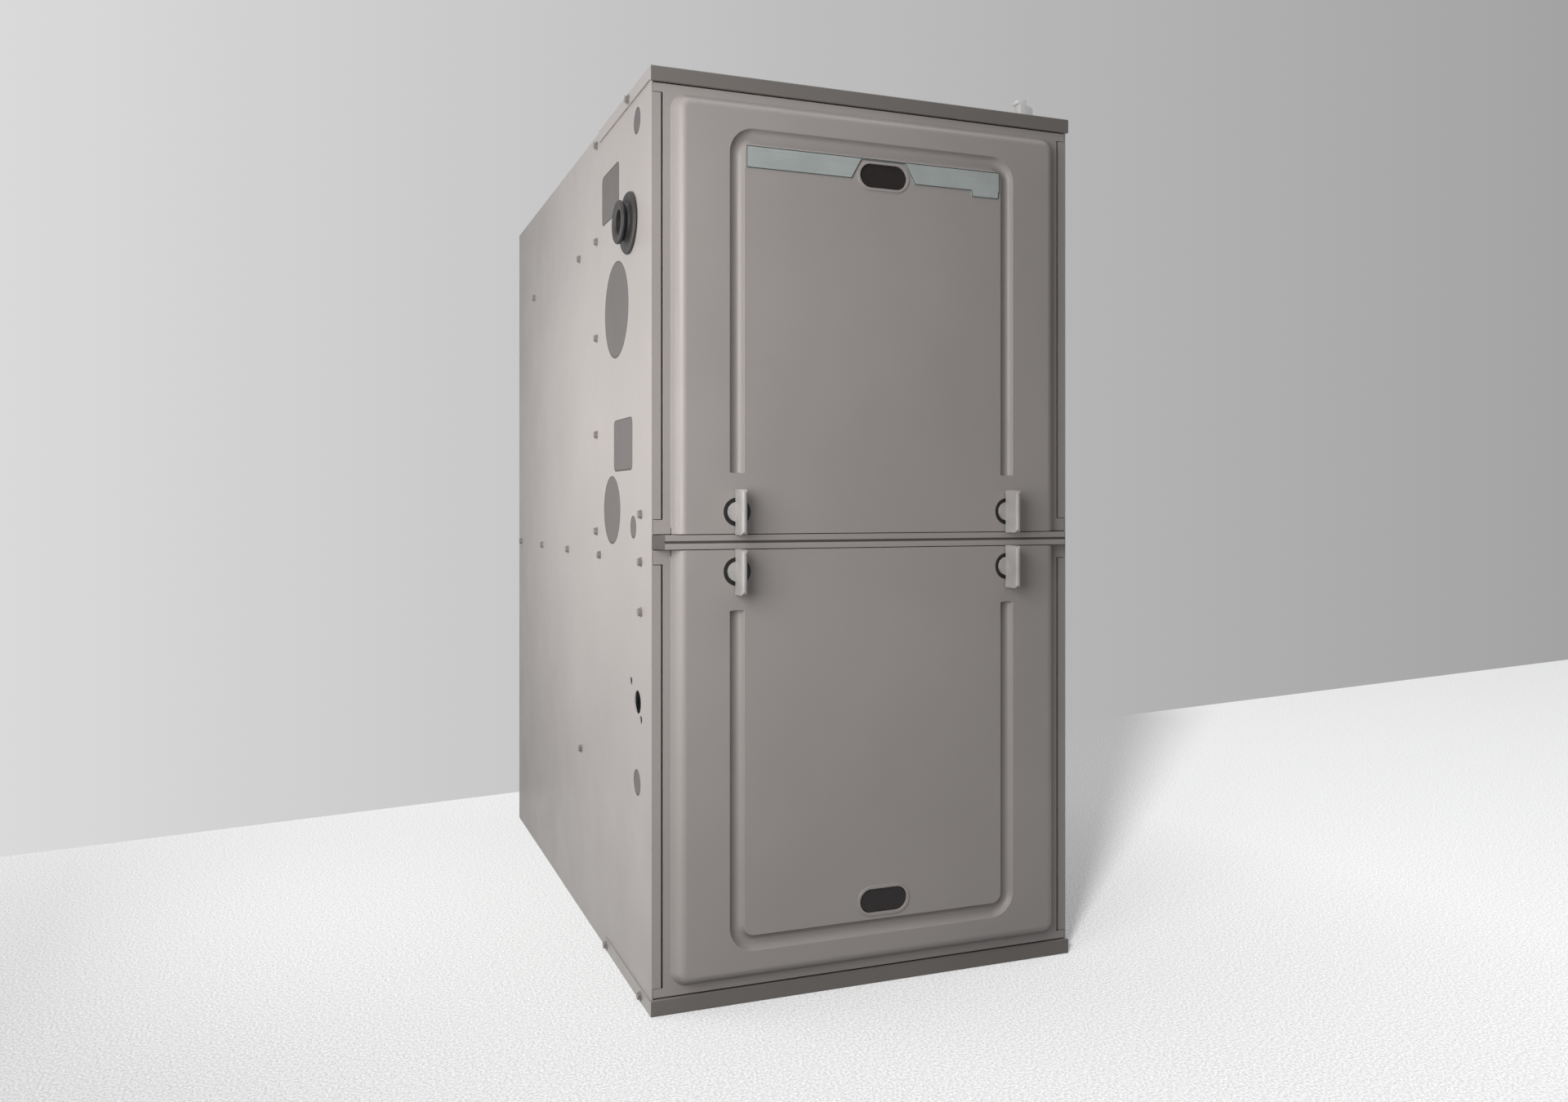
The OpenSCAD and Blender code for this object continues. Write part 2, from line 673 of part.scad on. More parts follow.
module burner_box() {
  color([0.74, 0.75, 0.76]) difference() {
    box([-box_x, box_x], [box_front, vest_y], [box_low, box_top]);
    box([-box_x + sheet_t, box_x - sheet_t], [box_front + sheet_t, vest_y + 1],
      [box_low + sheet_t, box_top - sheet_t]);
    for (x = burner_xs()) rod_y(x, [box_front - 1, box_front + 3], burner_at, orifice_r + 0.6);
    rod_z(air_x, air_y, [box_top - 3, box_top + 1], pipe_r - pipe_wall);
    rod_y(-104, [box_front - 1, box_front + 3], burner_at - 26, 5);
    rod_y(104, [box_front - 1, box_front + 3], burner_at - 26, 5);
  }
}

burner_back = vest_y - 4;
burner_len = 92;
// An in-shot burner: a flared venturi mouth, a barrel and a flame head.
module burners() {
  color([0.62, 0.6, 0.56]) for (x = burner_xs()) translate([x, burner_back - burner_len, burner_at])
    rotate([-90, 0, 0]) rotate_extrude() polygon([[15, 0], [16.4, 0], [13, 16], [10.6, 30], [10.6, 52],
      [16.5, 66], [16.5, burner_len], [6, burner_len], [6, burner_len - 2], [15.2, burner_len - 2],
      [15.2, 67], [9.4, 53], [9.4, 30], [11.8, 16]]);
  // the bar that carries the burners on the box floor
  color([0.62, 0.6, 0.56]) for (x = burner_xs()) difference() {
    box([x - 21, x + 21], [burner_back - 52, burner_back - 50], [box_low + sheet_t, burner_at]);
    rod_y(x, [burner_back - 54, burner_back - 48], burner_at, 10.2);
  }
}

module burner_orifices() {
  color([0.78, 0.63, 0.28]) for (x = burner_xs()) difference() {
    union() {
      rod_y(x, [gas_y + manifold_r, box_front + 9], burner_at, orifice_r);
      translate([x, gas_y + manifold_r + 0.2, burner_at]) rotate([-90, 0, 0]) cylinder(r = 7, h = 5.6, $fn = 6);
    }
    rod_y(x, [box_front - 4, box_front + 10], burner_at, 1.1);
  }
}

manifold_r = 10.65;
valve_w = 70;
valve_x0 = -side_x + 24;
valve_x1 = valve_x0 + valve_w;
module manifold_pipe() {
  color([0.24, 0.24, 0.25]) difference() {
    union() {
      rod_x([valve_x1 + 0.3, box_x - 8], gas_y, burner_at, manifold_r);
      // end cap
      rod_x([box_x - 14, box_x + 4], gas_y, burner_at, manifold_r + 2.4);
      // mounting ears on the burner box
      for (s = [-1, 1]) box([s * 104 - 8, s * 104 + 8], [gas_y, box_front - 0.1], [burner_at - 34, burner_at - 4]);
    }
    rod_x([valve_x1, box_x - 6], gas_y, burner_at, manifold_r - 2.8);
    for (x = burner_xs()) rod_y(x, [gas_y, gas_y + manifold_r + 8], burner_at, orifice_r + 0.05);
    for (x = burner_xs()) translate([x, gas_y + manifold_r, burner_at]) rotate([-90, 0, 0]) cylinder(r = 8.2, h = 10);
  }
}

module gas_valve() {
  color([0.66, 0.67, 0.68]) difference() {
    union() {
      translate([(valve_x0 + valve_x1) / 2, gas_y - 4, burner_at]) cube([valve_w - 12, 60, 62], center = true);
      // threaded bosses, inlet to the left and outlet to the right
      rod_x([valve_x0, valve_x0 + 10], gas_y, burner_at, 17);
      rod_x([valve_x1 - 10, valve_x1], gas_y, burner_at, 17);
      // solenoid block on top and regulator tower in front
      box([valve_x0 + 14, valve_x1 - 16], [gas_y - 24, gas_y + 18], [burner_at + 31 - eps, burner_at + 47]);
      rod_y(valve_x0 + 24, [gas_y - 43, gas_y - 33], burner_at - 14, 10);
    }
    rod_x([valve_x0 - 1, valve_x0 + 22], gas_y, burner_at, valve_bore_r);
    rod_x([valve_x1 - 22, valve_x1 + 1], gas_y, burner_at, manifold_r - 2.8);
    // slotted cap on the regulator tower
    translate([valve_x0 + 24, gas_y - 43, burner_at - 14]) cube([12, 3, 2], center = true);
    rod_y(switch_x, [gas_y - 36, gas_y - 30], switch_z, switch_bore_r);
  }
}

switch_x = valve_x0 + 46;
switch_z = burner_at + 6;
switch_r = 4;
switch_bore_r = switch_r + run_gap;
valve_front = gas_y - 34;
// The on/off knob of the gas valve, a small round knob with a pointer bar.
module valve_switch() {
  color([0.12, 0.12, 0.13]) {
    rod_y(switch_x, [valve_front - 2, valve_front + 3.5], switch_z, switch_r);
    rod_y(switch_x, [valve_front - 10, valve_front - 0.5], switch_z, 10);
    translate([switch_x, valve_front - 11.5, switch_z]) cube([4, 5, 19], center = true);
  }
}

module igniter() {
  x = burner_xs()[0] - 21;
  color([0.86, 0.84, 0.78]) {
    // ceramic block under the flame path, on the vestibule wall's side of the box
    box([x - 6, x + 6], [burner_back - 12, burner_back + 2], [box_low + sheet_t + 0.2, burner_at - 18]);
    for (dx = [-2.5, 2.5]) rod_z(x + dx, burner_back - 5, [burner_at - 18 - eps, burner_at + 2], 1.2);
    translate([x, burner_back - 5, burner_at + 2]) cube([7.4, 2.4, 2.4], center = true);
  }
}

module flame_sensor() {
  x = burner_xs()[burner_count - 1] + 24;
  color([0.88, 0.86, 0.8]) rod_z(x, burner_back - 6, [box_low + sheet_t + 0.2, burner_at - 22], 4.5);
  color([0.5, 0.5, 0.5]) rod_z(x, burner_back - 6, [burner_at - 22 - eps, burner_at], 1.5);
}

module disc_switch() {
  // a bimetal disc switch: flat cup, phenolic body and two tabs, its back at the origin and facing +Z
  cylinder(r = 8, h = 3);
  cylinder(r = 7, h = 9);
  for (s = [-1, 1]) translate([s * 4, 0, 11]) cube([0.8, 5, 6], center = true);
  cube([30, 10, 1.6], center = true);
}

rollout_x = 52;
rollout_y = vest_y - 40;
button_r = 2.4;
module rollout_switch() {
  color([0.2, 0.2, 0.2]) translate([rollout_x, rollout_y, box_top + 0.9]) difference() {
    disc_switch();
    translate([0, 0, 4]) cylinder(r = button_r + run_gap, h = 6);
  }
}

// The button that resets the rollout switch, at its raised place.
module rollout_reset_button() {
  color([0.8, 0.15, 0.12]) rod_z(rollout_x, rollout_y, [box_top + 6.9, box_top + 12.9], button_r);
}

limit_x = 150;
limit_z = burner_at - 38;
module limit_switch() {
  color([0.25, 0.25, 0.24]) {
    translate([limit_x, vest_y - 0.9, limit_z]) rotate([90, 0, 0]) disc_switch();
    rod_y(limit_x, [vest_y - 1, vest_y + 60], limit_z, 4);
  }
}

// ---------------------------------------------------------------- heat exchanger

bend_r = pass_step / 2;
pass_front = vest_y + 60;
pass_back = back_y - 92;
header_y = back_y - 70;
tube_wall = 1.2;
coil_x = 172;
coil_h = 92;
coil_z = deck_at + 68;
coil_front = vest_y + 8;

module straight_tube(y, z) {
  difference() {
    rod_y(0, y, z, tube_r);
    rod_y(0, [y[0] - 1, y[1] + 1], z, tube_r - tube_wall);
  }
}

// A half-turn bend that joins the pass at z to the one below it, bulging towards +Y (s = 1) or -Y (s = -1).
module tube_bend(y, z, s) {
  translate([0, y, z - bend_r]) rotate([0, 90, 0]) rotate([0, 0, s > 0 ? 0 : 180])
    rotate_extrude(angle = 180, start = 0) translate([bend_r, 0]) difference() {
      circle(r = tube_r);
      circle(r = tube_r - tube_wall);
    }
}

module heat_exchanger_tubes() {
  color([0.62, 0.6, 0.57]) for (x = burner_xs()) translate([x, 0, 0]) {
    straight_tube([vest_y + sheet_t, pass_back], burner_at);
    tube_bend(pass_back, burner_at, 1);
    straight_tube([pass_front, pass_back], burner_at - pass_step);
    tube_bend(pass_front, burner_at - pass_step, -1);
    straight_tube([pass_front, header_y], burner_at - 2 * pass_step);
  }
}

header_top = burner_at - 2 * pass_step + 32;
module rear_header() {
  color([0.6, 0.58, 0.56]) difference() {
    box([-coil_x, coil_x], [header_y, header_y + 42], [coil_z - coil_h / 2, header_top]);
    box([-coil_x + sheet_t, coil_x - sheet_t], [header_y + sheet_t, header_y + 42 - sheet_t],
      [coil_z - coil_h / 2 + sheet_t, header_top - sheet_t]);
    for (x = burner_xs()) rod_y(x, [header_y - 1, header_y + 3], burner_at - 2 * pass_step, tube_r - tube_wall);
    for (p = coil_tubes()) rod_y(p[0], [header_y - 1, header_y + 3], p[1], coil_tube_r - 0.8);
  }
}

coil_tube_r = 6;
coil_cols = 9;
coil_rows = 3;
function coil_tubes() = [for (r = [0:coil_rows - 1], c = [0:coil_cols - 1])
  [(c - (coil_cols - 1) / 2) * 36 + (r % 2 == 1 ? 7 : -7), coil_z + (r - 1) * 28]];
fin_count = 26;
fin_t = 0.8;

module secondary_coil() {
  fin_y0 = coil_front + 14;
  fin_y1 = header_y - 10;
  color([0.8, 0.8, 0.82]) {
    for (k = [0:fin_count - 1]) {
      y = fin_y0 + k * (fin_y1 - fin_y0) / (fin_count - 1);
      upright([y, y + fin_t]) difference() {
        translate([0, coil_z]) square([2 * coil_x - 6, coil_h - 8], center = true);
        for (p = coil_tubes()) translate(p) circle(r = coil_tube_r + 0.1);
      }
    }
    for (p = coil_tubes()) rod_y(p[0], [coil_front - 2, header_y - 0.1], p[1], coil_tube_r);
    // front tube sheet, behind the cut-out in the vestibule wall
    upright([vest_y + sheet_t + 0.2, vest_y + sheet_t + 2.2]) difference() {
      translate([0, coil_z]) square([2 * coil_x + 10, coil_h + 10], center = true);
      for (p = coil_tubes()) translate(p) circle(r = coil_tube_r + 0.1);
    }
  }
}

collector_front = vest_y - 40;
coil_low = coil_z - coil_h / 2;
drain_x = -150;
drain_y = collector_front + 14;
tap_x = -120;
module collector_box() {
  color([0.16, 0.16, 0.17]) difference() {
    union() {
      box([-coil_x, coil_x], [collector_front, vest_y - 0.2], [coil_z - coil_h / 2, coil_z + coil_h / 2]);
      // stiffening ribs on the moulded front
      for (x = [-150, -110, -70]) box([x - 1.5, x + 1.5], [collector_front - 5, collector_front + eps], [coil_z - 38, coil_z + 38]);
      // drain nipples
      rod_z(drain_x, drain_y, [coil_low - 5, coil_low + 1], 5);
      rod_z(tap_x, drain_y, [coil_z + coil_h / 2 - 1, coil_z + coil_h / 2 + 7], 3.2);
    }
    box([-coil_x + 3, coil_x - 3], [collector_front + 3, vest_y], [coil_z - coil_h / 2 + 3, coil_z + coil_h / 2 - 3]);
    rod_y(inducer_x, [collector_front - 1, collector_front + 4], coil_z, 24);
    rod_z(drain_x, drain_y, [coil_low - 6, coil_low + 4], 3.6);
  }
}

// ---------------------------------------------------------------- draft inducer

inducer_back = collector_front - 0.3;
inducer_depth = 52;
inducer_front = inducer_back - inducer_depth;
inducer_wall = 2.6;
inducer_tap_x = inducer_x - inducer_r - 30;
function spiral(a, r0, r1) = r0 + (r1 - r0) * a / 300;

// The outline of a small scroll round the inducer's wheel, with its outlet upwards on the right.
function scroll_outline(grow) = concat(
  [for (a = [0:15:300]) let(r = spiral(a, inducer_r + 10, inducer_r + 34) + grow, q = 100 + a)
    [r * cos(q), r * sin(q)]],
  [[vent_x - inducer_x + 30 + grow, 36], [vent_x - inducer_x + 30 + grow, 60], [20, 62 + grow]]);

module inducer_housing() {
  out_y = vent_y;
  color([0.14, 0.14, 0.15]) difference() {
    union() {
      upright([inducer_front, inducer_back]) translate([inducer_x, inducer_at]) polygon(scroll_outline(inducer_wall));
      // round outlet spigot
      rod_z(vent_x, out_y, [inducer_at + 40, inducer_out_z + 26], pipe_r - pipe_wall - 0.6);
      rod_z(vent_x, out_y, [inducer_at + 40, inducer_out_z], pipe_r + 2);
      rod_x([inducer_tap_x, inducer_x - inducer_r], inducer_front + 26, inducer_at, 3.2);
      // feet against the collector box
      for (a = [45:90:315])
        rod_y(inducer_x + (inducer_r + 20) * cos(a), [inducer_front + 4, inducer_back], inducer_at + (inducer_r + 20) * sin(a), 6);
    }
    upright([inducer_front + inducer_wall, inducer_back - inducer_wall]) translate([inducer_x, inducer_at])
      polygon(scroll_outline(0));
    rod_z(vent_x, out_y, [inducer_at + 42, inducer_out_z + 27], pipe_r - pipe_wall - 3.6);
    // inlet from the collector box, and the motor's opening
    rod_y(inducer_x, [inducer_back - 4, inducer_back + 1], coil_z, 24);
    rod_y(inducer_x, [inducer_front - 1, inducer_front + 4], inducer_at, 12);
  }
}

inducer_shaft_r = 4;
module inducer_wheel() {
  back = inducer_back - inducer_wall - 6;
  front = inducer_front + inducer_wall + 6;
  color([0.7, 0.71, 0.72]) {
    difference() {
      union() {
        rod_y(inducer_x, [front, front + 1.5], inducer_at, inducer_r);
        rod_y(inducer_x, [front, front + 16], inducer_at, 11);
        for (a = [0:30:330]) translate([inducer_x, front + 14, inducer_at]) rotate([0, a, 0])
          translate([(inducer_r + 9) / 2, 0, 0]) cube([inducer_r - 10, 26, 1.4], center = true);
      }
      rod_y(inducer_x, [front - 1, back + 1], inducer_at, inducer_shaft_r);
    }
    rod_y(inducer_x, [inducer_front - 22, front + 16], inducer_at, inducer_shaft_r);
  }
}

module inducer_motor() {
  mount_y = inducer_front - 12;
  color([0.3, 0.3, 0.31]) difference() {
    union() {
      rod_y(inducer_x, [mount_y - 44, mount_y], inducer_at, 37);
      rod_y(inducer_x, [mount_y - 52, mount_y - 43], inducer_at, 16);
      // laminations stand out square from the round shell
      translate([inducer_x, mount_y - 22, inducer_at]) cube([70, 22, 70], center = true);
      for (a = [45:90:315])
        rod_y(inducer_x + 34 * cos(a), [mount_y - 10, inducer_front - 0.1], inducer_at + 34 * sin(a), 4);
    }
    rod_y(inducer_x, [mount_y - 30, mount_y + 1], inducer_at, inducer_shaft_r + run_gap);
    // cooling slots in the shell's front
    for (a = [0:40:320]) translate([inducer_x, mount_y - 43, inducer_at]) rotate([0, a, 0])
      translate([26, 0, 0]) cube([12, 6, 3.4], center = true);
  }
}

// ---------------------------------------------------------------- pressure and condensate

switch_plate_z = burner_at - 112;
module pressure_switches() {
  for (x = [-176, -112]) {
    color([0.2, 0.2, 0.21]) translate([x, vest_y - 6, switch_plate_z]) rotate([90, 0, 0]) {
      cylinder(r = 26, h = 9);
      translate([0, 0, 8]) cylinder(r = 20, h = 9);
      translate([0, -24, 5]) rotate([90, 0, 0]) cylinder(r = 3, h = 14);
      for (s = [-1, 1]) translate([s * 6, 0, 19]) cube([0.8, 6, 8], center = true);
    }
    color([0.72, 0.73, 0.74]) box([x - 12, x + 12], [vest_y - 6.2, vest_y - 0.1], [switch_plate_z - 12, switch_plate_z + 34]);
  }
}

module pressure_hoses() {
  tap_y = vest_y - 12;
  top = coil_z + coil_h / 2 + 7.2;
  color([0.1, 0.1, 0.1]) {
    hose([[-176, tap_y, switch_plate_z - 38.2], [-176, tap_y, top + 32.8], [-160, tap_y - 6, top + 20.8],
      [-126, drain_y, top + 18.8], [tap_x, drain_y, top + 12.8], [tap_x, drain_y, top]], 4);
    hose([[-112, tap_y, switch_plate_z - 38.2], [-112, tap_y, top + 36.8], [-98, tap_y - 20, top + 24.8],
      [-64, tap_y - 48, top + 12.8], [-40, inducer_front + 26, top + 4.8],
      [inducer_tap_x - 12, inducer_front + 26, inducer_at],
      [inducer_tap_x - 0.2, inducer_front + 26, inducer_at]], 4);
  }
}

trap_in_x = -172;
trap_z0 = deck_at - 102;
trap_z1 = deck_at - 36;
trap_x0 = -inner_x + 0.2;
trap_x1 = trap_in_x + 13;
// The condensate trap hangs on the left wall under the deck, its inlet below the collector's drain.
module condensate_trap() {
  color([0.8, 0.8, 0.78]) difference() {
    union() {
      box([trap_x0, trap_x1], [drain_y - 20, drain_y + 20], [trap_z0, trap_z1]);
      box([trap_x0, trap_x0 + 3], [drain_y - 32, drain_y + 32], [trap_z0 + 10, trap_z1 - 10]);
      rod_z(trap_in_x, drain_y, [trap_z1 - 1, trap_z1 + 8], 5);
      // outlet towards the front
      rod_y(trap_in_x - 24, [drain_y - 36, drain_y - 19], trap_z1 - 16, 6);
    }
    rod_z(trap_in_x, drain_y, [trap_z0 + 12, trap_z1 + 9], 3.6);
    rod_y(trap_in_x - 24, [drain_y - 37, drain_y - 8], trap_z1 - 16, 4.4);
  }
}

module drain_hose() {
  color([0.15, 0.15, 0.16]) hose([[drain_x, drain_y, coil_low - 5.2], [drain_x, drain_y, coil_low - 18],
    [(drain_x + trap_in_x) / 2, drain_y, (coil_low + trap_z1) / 2 + 2], [trap_in_x, drain_y, trap_z1 + 21],
    [trap_in_x, drain_y, trap_z1 + 8.2]], 6);
}

wire_x = -100;
wire_y = front_y + 64;

// ---------------------------------------------------------------- blower

house_x = wheel_w / 2 + 11;
inlet_r = wheel_r - blade_d - 1;

// The scroll's outline in the Y-Z plane, from the cut-off round the front and the bottom to the outlet.
function blower_outline(grow, top) = concat(
  [[-24 - grow, top], [-24 - grow, scroll_r0 - 2]],
  [for (a = [12:8:260]) let(r = scroll_r0 + (scroll_r1 - scroll_r0) * a / 260 + grow, q = 100 + a)
    [r * cos(q), r * sin(q)]],
  [[scroll_r1 + grow, top]]);

deck_low = deck_at - sheet_t;
seam_gap = 0.15;
module blower_housing() {
  rise = deck_low - blower_z;
  color([0.73, 0.74, 0.75]) translate([0, blower_y, blower_z]) {
    // the scroll sheet, between the two side plates
    wrap_x = house_x - sheet_t - seam_gap;
    sideways([-wrap_x, wrap_x]) difference() {
      polygon(blower_outline(0, rise));
      polygon(blower_outline(-sheet_t, rise + 1));
    }
    // side plates, each with its mounting rail under the deck
    for (s = [0, 1]) mirror([s, 0, 0]) difference() {
      union() {
        sideways([-house_x, -house_x + sheet_t]) polygon(blower_outline(0, rise));
        box([-house_x - 16, -house_x], [-80, scroll_r1 - 10], [rise - 1.6, rise]);
      }
      rod_x([-house_x - 1, -house_x + 3], 0, 0, inlet_r + 8);
    }
    // rolled inlet rings
    for (s = [0, 1]) mirror([s, 0, 0]) translate([-house_x, 0, 0]) rotate([0, 90, 0]) rotate_extrude()
      polygon([[inlet_r + 8, 0], [inlet_r + 8.6, sheet_t], [inlet_r + 3.6, 3], [inlet_r + 1.2, 8],
        [inlet_r, 8], [inlet_r + 2.2, 2], [inlet_r + 6, -0.8], [inlet_r + 10, -0.8], [inlet_r + 10, 0]]);
  }
}

// One forward-curved blade in the wheel's section, as an arc between the hub side and the rim.
module blade() {
  n = 4;
  r_in = wheel_r - blade_d;
  arc = [for (k = [0:n]) let(r = r_in + blade_d * k / n, a = 10 * sin(90 * k / n)) [r * cos(a), r * sin(a)]];
  back = [for (k = [n:-1:0]) let(r = r_in + blade_d * k / n, a = 10 * sin(90 * k / n) + 0.7) [r * cos(a), r * sin(a)]];
  polygon(concat(arc, back));
}

hub_r = 16;
module blower_wheel() {
  half = wheel_w / 2;
  r_in = wheel_r - blade_d;
  color([0.76, 0.77, 0.78]) translate([0, blower_y, blower_z]) {
    // a cage of blades on its end ring, on each side of the centre plate
    for (s = [0, 1]) mirror([s, 0, 0]) {
      sideways([-half + 0.6, -1 - seam_gap]) for (k = [0:blade_count - 1]) rotate(k * 360 / blade_count) blade();
      sideways([-half, -half + 6]) difference() {
        circle(r = wheel_r + 0.8);
        circle(r = wheel_r - 5);
      }
    }
    // the centre plate with its hub
    difference() {
      union() {
        rod_x([-1, 1], 0, 0, wheel_r - 1);
        rod_x([-18, 18], 0, 0, hub_r);
      }
      rod_x([-20, 20], 0, 0, shaft_r);
      rod_z(0, 0, [10, 30], 3);
    }
  }
}

motor_x0 = -195;
motor_len = 118;
motor_x1 = motor_x0 + motor_len;
module blower_shaft() {
  color([0.7, 0.7, 0.72]) rod_x([motor_x1 - 60, 26], blower_y, blower_z, shaft_r);
}

module blower_motor() {
  color([0.2, 0.2, 0.21]) translate([0, blower_y, blower_z]) difference() {
    union() {
      rod_x([motor_x0 + 8, motor_x1 - 8], 0, 0, motor_r);
      rod_x([motor_x0, motor_x1], 0, 0, motor_r - 8);
      rod_x([motor_x1 - 1, motor_x1 + 6], 0, 0, 20);
    }
    rod_x([motor_x1 - 62, motor_x1 + 8], 0, 0, shaft_r + run_gap);
    // vents round the end bells
    for (a = [0:45:315], x = [motor_x0, motor_x1]) translate([x, 0, 0]) rotate([a, 0, 0])
      translate([0, 44, 0]) cube([8, 20, 6], center = true);
  }
}

arm_t = 3;
module motor_mount() {
  band_r = motor_r + 0.2;
  color([0.7, 0.71, 0.72]) translate([0, blower_y, blower_z]) {
    difference() {
      rod_x([-170, -146], 0, 0, band_r + 1.6);
      rod_x([-171, -145], 0, 0, band_r);
    }
    // three arms from the belly band to the housing's side plate
    for (a = [30, 150, 270]) rotate([a, 0, 0]) {
      box([-162, -154], [band_r + 1, inlet_r + 22], [-arm_t / 2, arm_t / 2]);
      box([-162, -house_x], [inlet_r + 19, inlet_r + 22], [-6, 6]);
      box([-house_x - 2, -house_x], [inlet_r + 16, inlet_r + 34], [-8, 8]);
    }
    // band screw lugs
    rotate([90, 0, 0]) for (s = [-1, 1])
      box([-164, -152], [s * 6 - 1.2, s * 6 + 1.2], [band_r + 1, band_r + 16]);
    rotate([90, 0, 0]) translate([-158, -12, band_r + 10]) rotate([-90, 0, 0]) cylinder(r = 2.4, h = 24);
  }
}

// ---------------------------------------------------------------- controls

plate_y = front_y + 108;
plate_x = 150;
plate_top = 196;
module control_plate() {
  color([0.72, 0.73, 0.74]) {
    box([-plate_x, plate_x], [plate_y, plate_y + sheet_t], [sheet_t, plate_top]);
    box([-plate_x, plate_x], [plate_y, plate_y + 26], [sheet_t, 2 * sheet_t]);
    for (s = [-1, 1]) box([s * plate_x - (s > 0 ? sheet_t : 0), s * plate_x + (s > 0 ? 0 : sheet_t)],
      [plate_y, plate_y + 20], [sheet_t, plate_top]);
  }
}

board_z = 88;
module control_board() {
  y = plate_y - 9;
  color([0.1, 0.3, 0.17]) upright([y, y + 1.6]) translate([port_x, board_z]) square([150, 104], center = true);
  color([0.85, 0.85, 0.83]) for (sx = [-1, 1], sz = [-1, 1])
    rod_y(port_x + sx * 70, [y + 1.6, plate_y], board_z + sz * 47, 3);
  color([0.15, 0.15, 0.16]) {
    // relays, the inducer relay and the processor
    for (k = [0:3]) translate([port_x - 52 + k * 22, y - 8, board_z + 36]) cube([19, 16, 16], center = true);
    translate([port_x + 6, y - 1.5, board_z - 8]) cube([26, 3, 26], center = true);
    // screw terminals for the thermostat wires
    translate([port_x - 2, y - 5, board_z - 45]) cube([84, 10, 10], center = true);
  }
  color([0.9, 0.9, 0.88]) {
    translate([port_x + 62, y - 6, board_z + 4]) cube([12, 12, 56], center = true);
    translate([port_x - 62, y - 6, board_z + 4]) cube([12, 12, 44], center = true);
  }
  color([0.2, 0.35, 0.6]) for (p = [[-30, 6], [38, -24], [40, 22]])
    rod_y(port_x + p[0], [y - 13, y], board_z + p[1], 6);
}

module transformer() {
  color([0.3, 0.3, 0.31]) {
    translate([118, plate_y - 26, board_z + 2]) cube([34, 46, 56], center = true);
    box([96, 140], [plate_y - 4, plate_y - 0.1], [board_z - 34, board_z + 38]);
  }
  color([0.82, 0.72, 0.4]) translate([118, plate_y - 26, board_z + 2]) cube([50, 34, 38], center = true);
}

module capacitor() {
  z = blower_z - 120;
  y = blower_y - 118;
  x = house_x + 20.4;
  color([0.72, 0.73, 0.74]) {
    rod_y(x, [y, y + 76], z, 19);
    rod_y(x, [y - 3, y + 1], z, 17);
    for (s = [-1, 1]) translate([x + s * 7, y - 6, z]) cube([5, 8, 0.9], center = true);
    // strap and its ears on the blower housing
    rod_y(x, [y + 30, y + 44], z, 20.2);
    box([house_x + 0.2, house_x + 1.6], [y + 30, y + 44], [z - 28, z + 28]);
  }
}

jbox_s = [20, 92];
jbox_z = [deck_at - 184, deck_at - 98];
module junction_box() {
  x0 = -inner_x;
  y0 = front_y + jbox_s[0];
  y1 = front_y + jbox_s[1];
  color([0.68, 0.69, 0.7]) difference() {
    box([x0, x0 + 54], [y0, y1], jbox_z);
    box([x0 - 1, x0 + 54 - sheet_t], [y0 + sheet_t, y1 - sheet_t], [jbox_z[0] + sheet_t, jbox_z[1] - sheet_t]);
    rod_z(x0 + 30, front_y + 56, [jbox_z[0] - 2, jbox_z[0] + 3], 11.1);
  }
}

sw_x = -118;
sw_z = deck_at - deck_flange_h - 22;
plunger_r = 3;
door_back = face_y + door_t;
plunger_tip = door_back + 0.4;
sw_front = front_y + 20;
module door_switch() {
  color([0.13, 0.13, 0.14]) difference() {
    box([sw_x - 15, sw_x + 15], [sw_front, sw_front + 34], [sw_z - 9, sw_z + 9]);
    rod_y(sw_x, [sw_front - 1, sw_front + 26], sw_z, plunger_r + run_gap);
  }
  // bracket up to the deck
  color([0.7, 0.71, 0.72]) {
    box([sw_x - 17, sw_x + 17], [sw_front + 2, sw_front + 30], [sw_z + 8.6, sw_z + 10.4]);
    box([sw_x - 17, sw_x - 15.6], [sw_front + 2, sw_front + 30], [sw_z + 9, deck_low]);
    box([sw_x - 17, sw_x + 8], [sw_front + 2, sw_front + 30], [deck_low - 1.4, deck_low]);
  }
}

module door_switch_plunger() {
  color([0.85, 0.2, 0.15]) {
    rod_y(sw_x, [plunger_tip + 2, sw_front + 18], sw_z, plunger_r);
    translate([sw_x, plunger_tip, sw_z]) rotate([-90, 0, 0]) cylinder(r1 = 1.6, r2 = plunger_r, h = 2);
  }
}

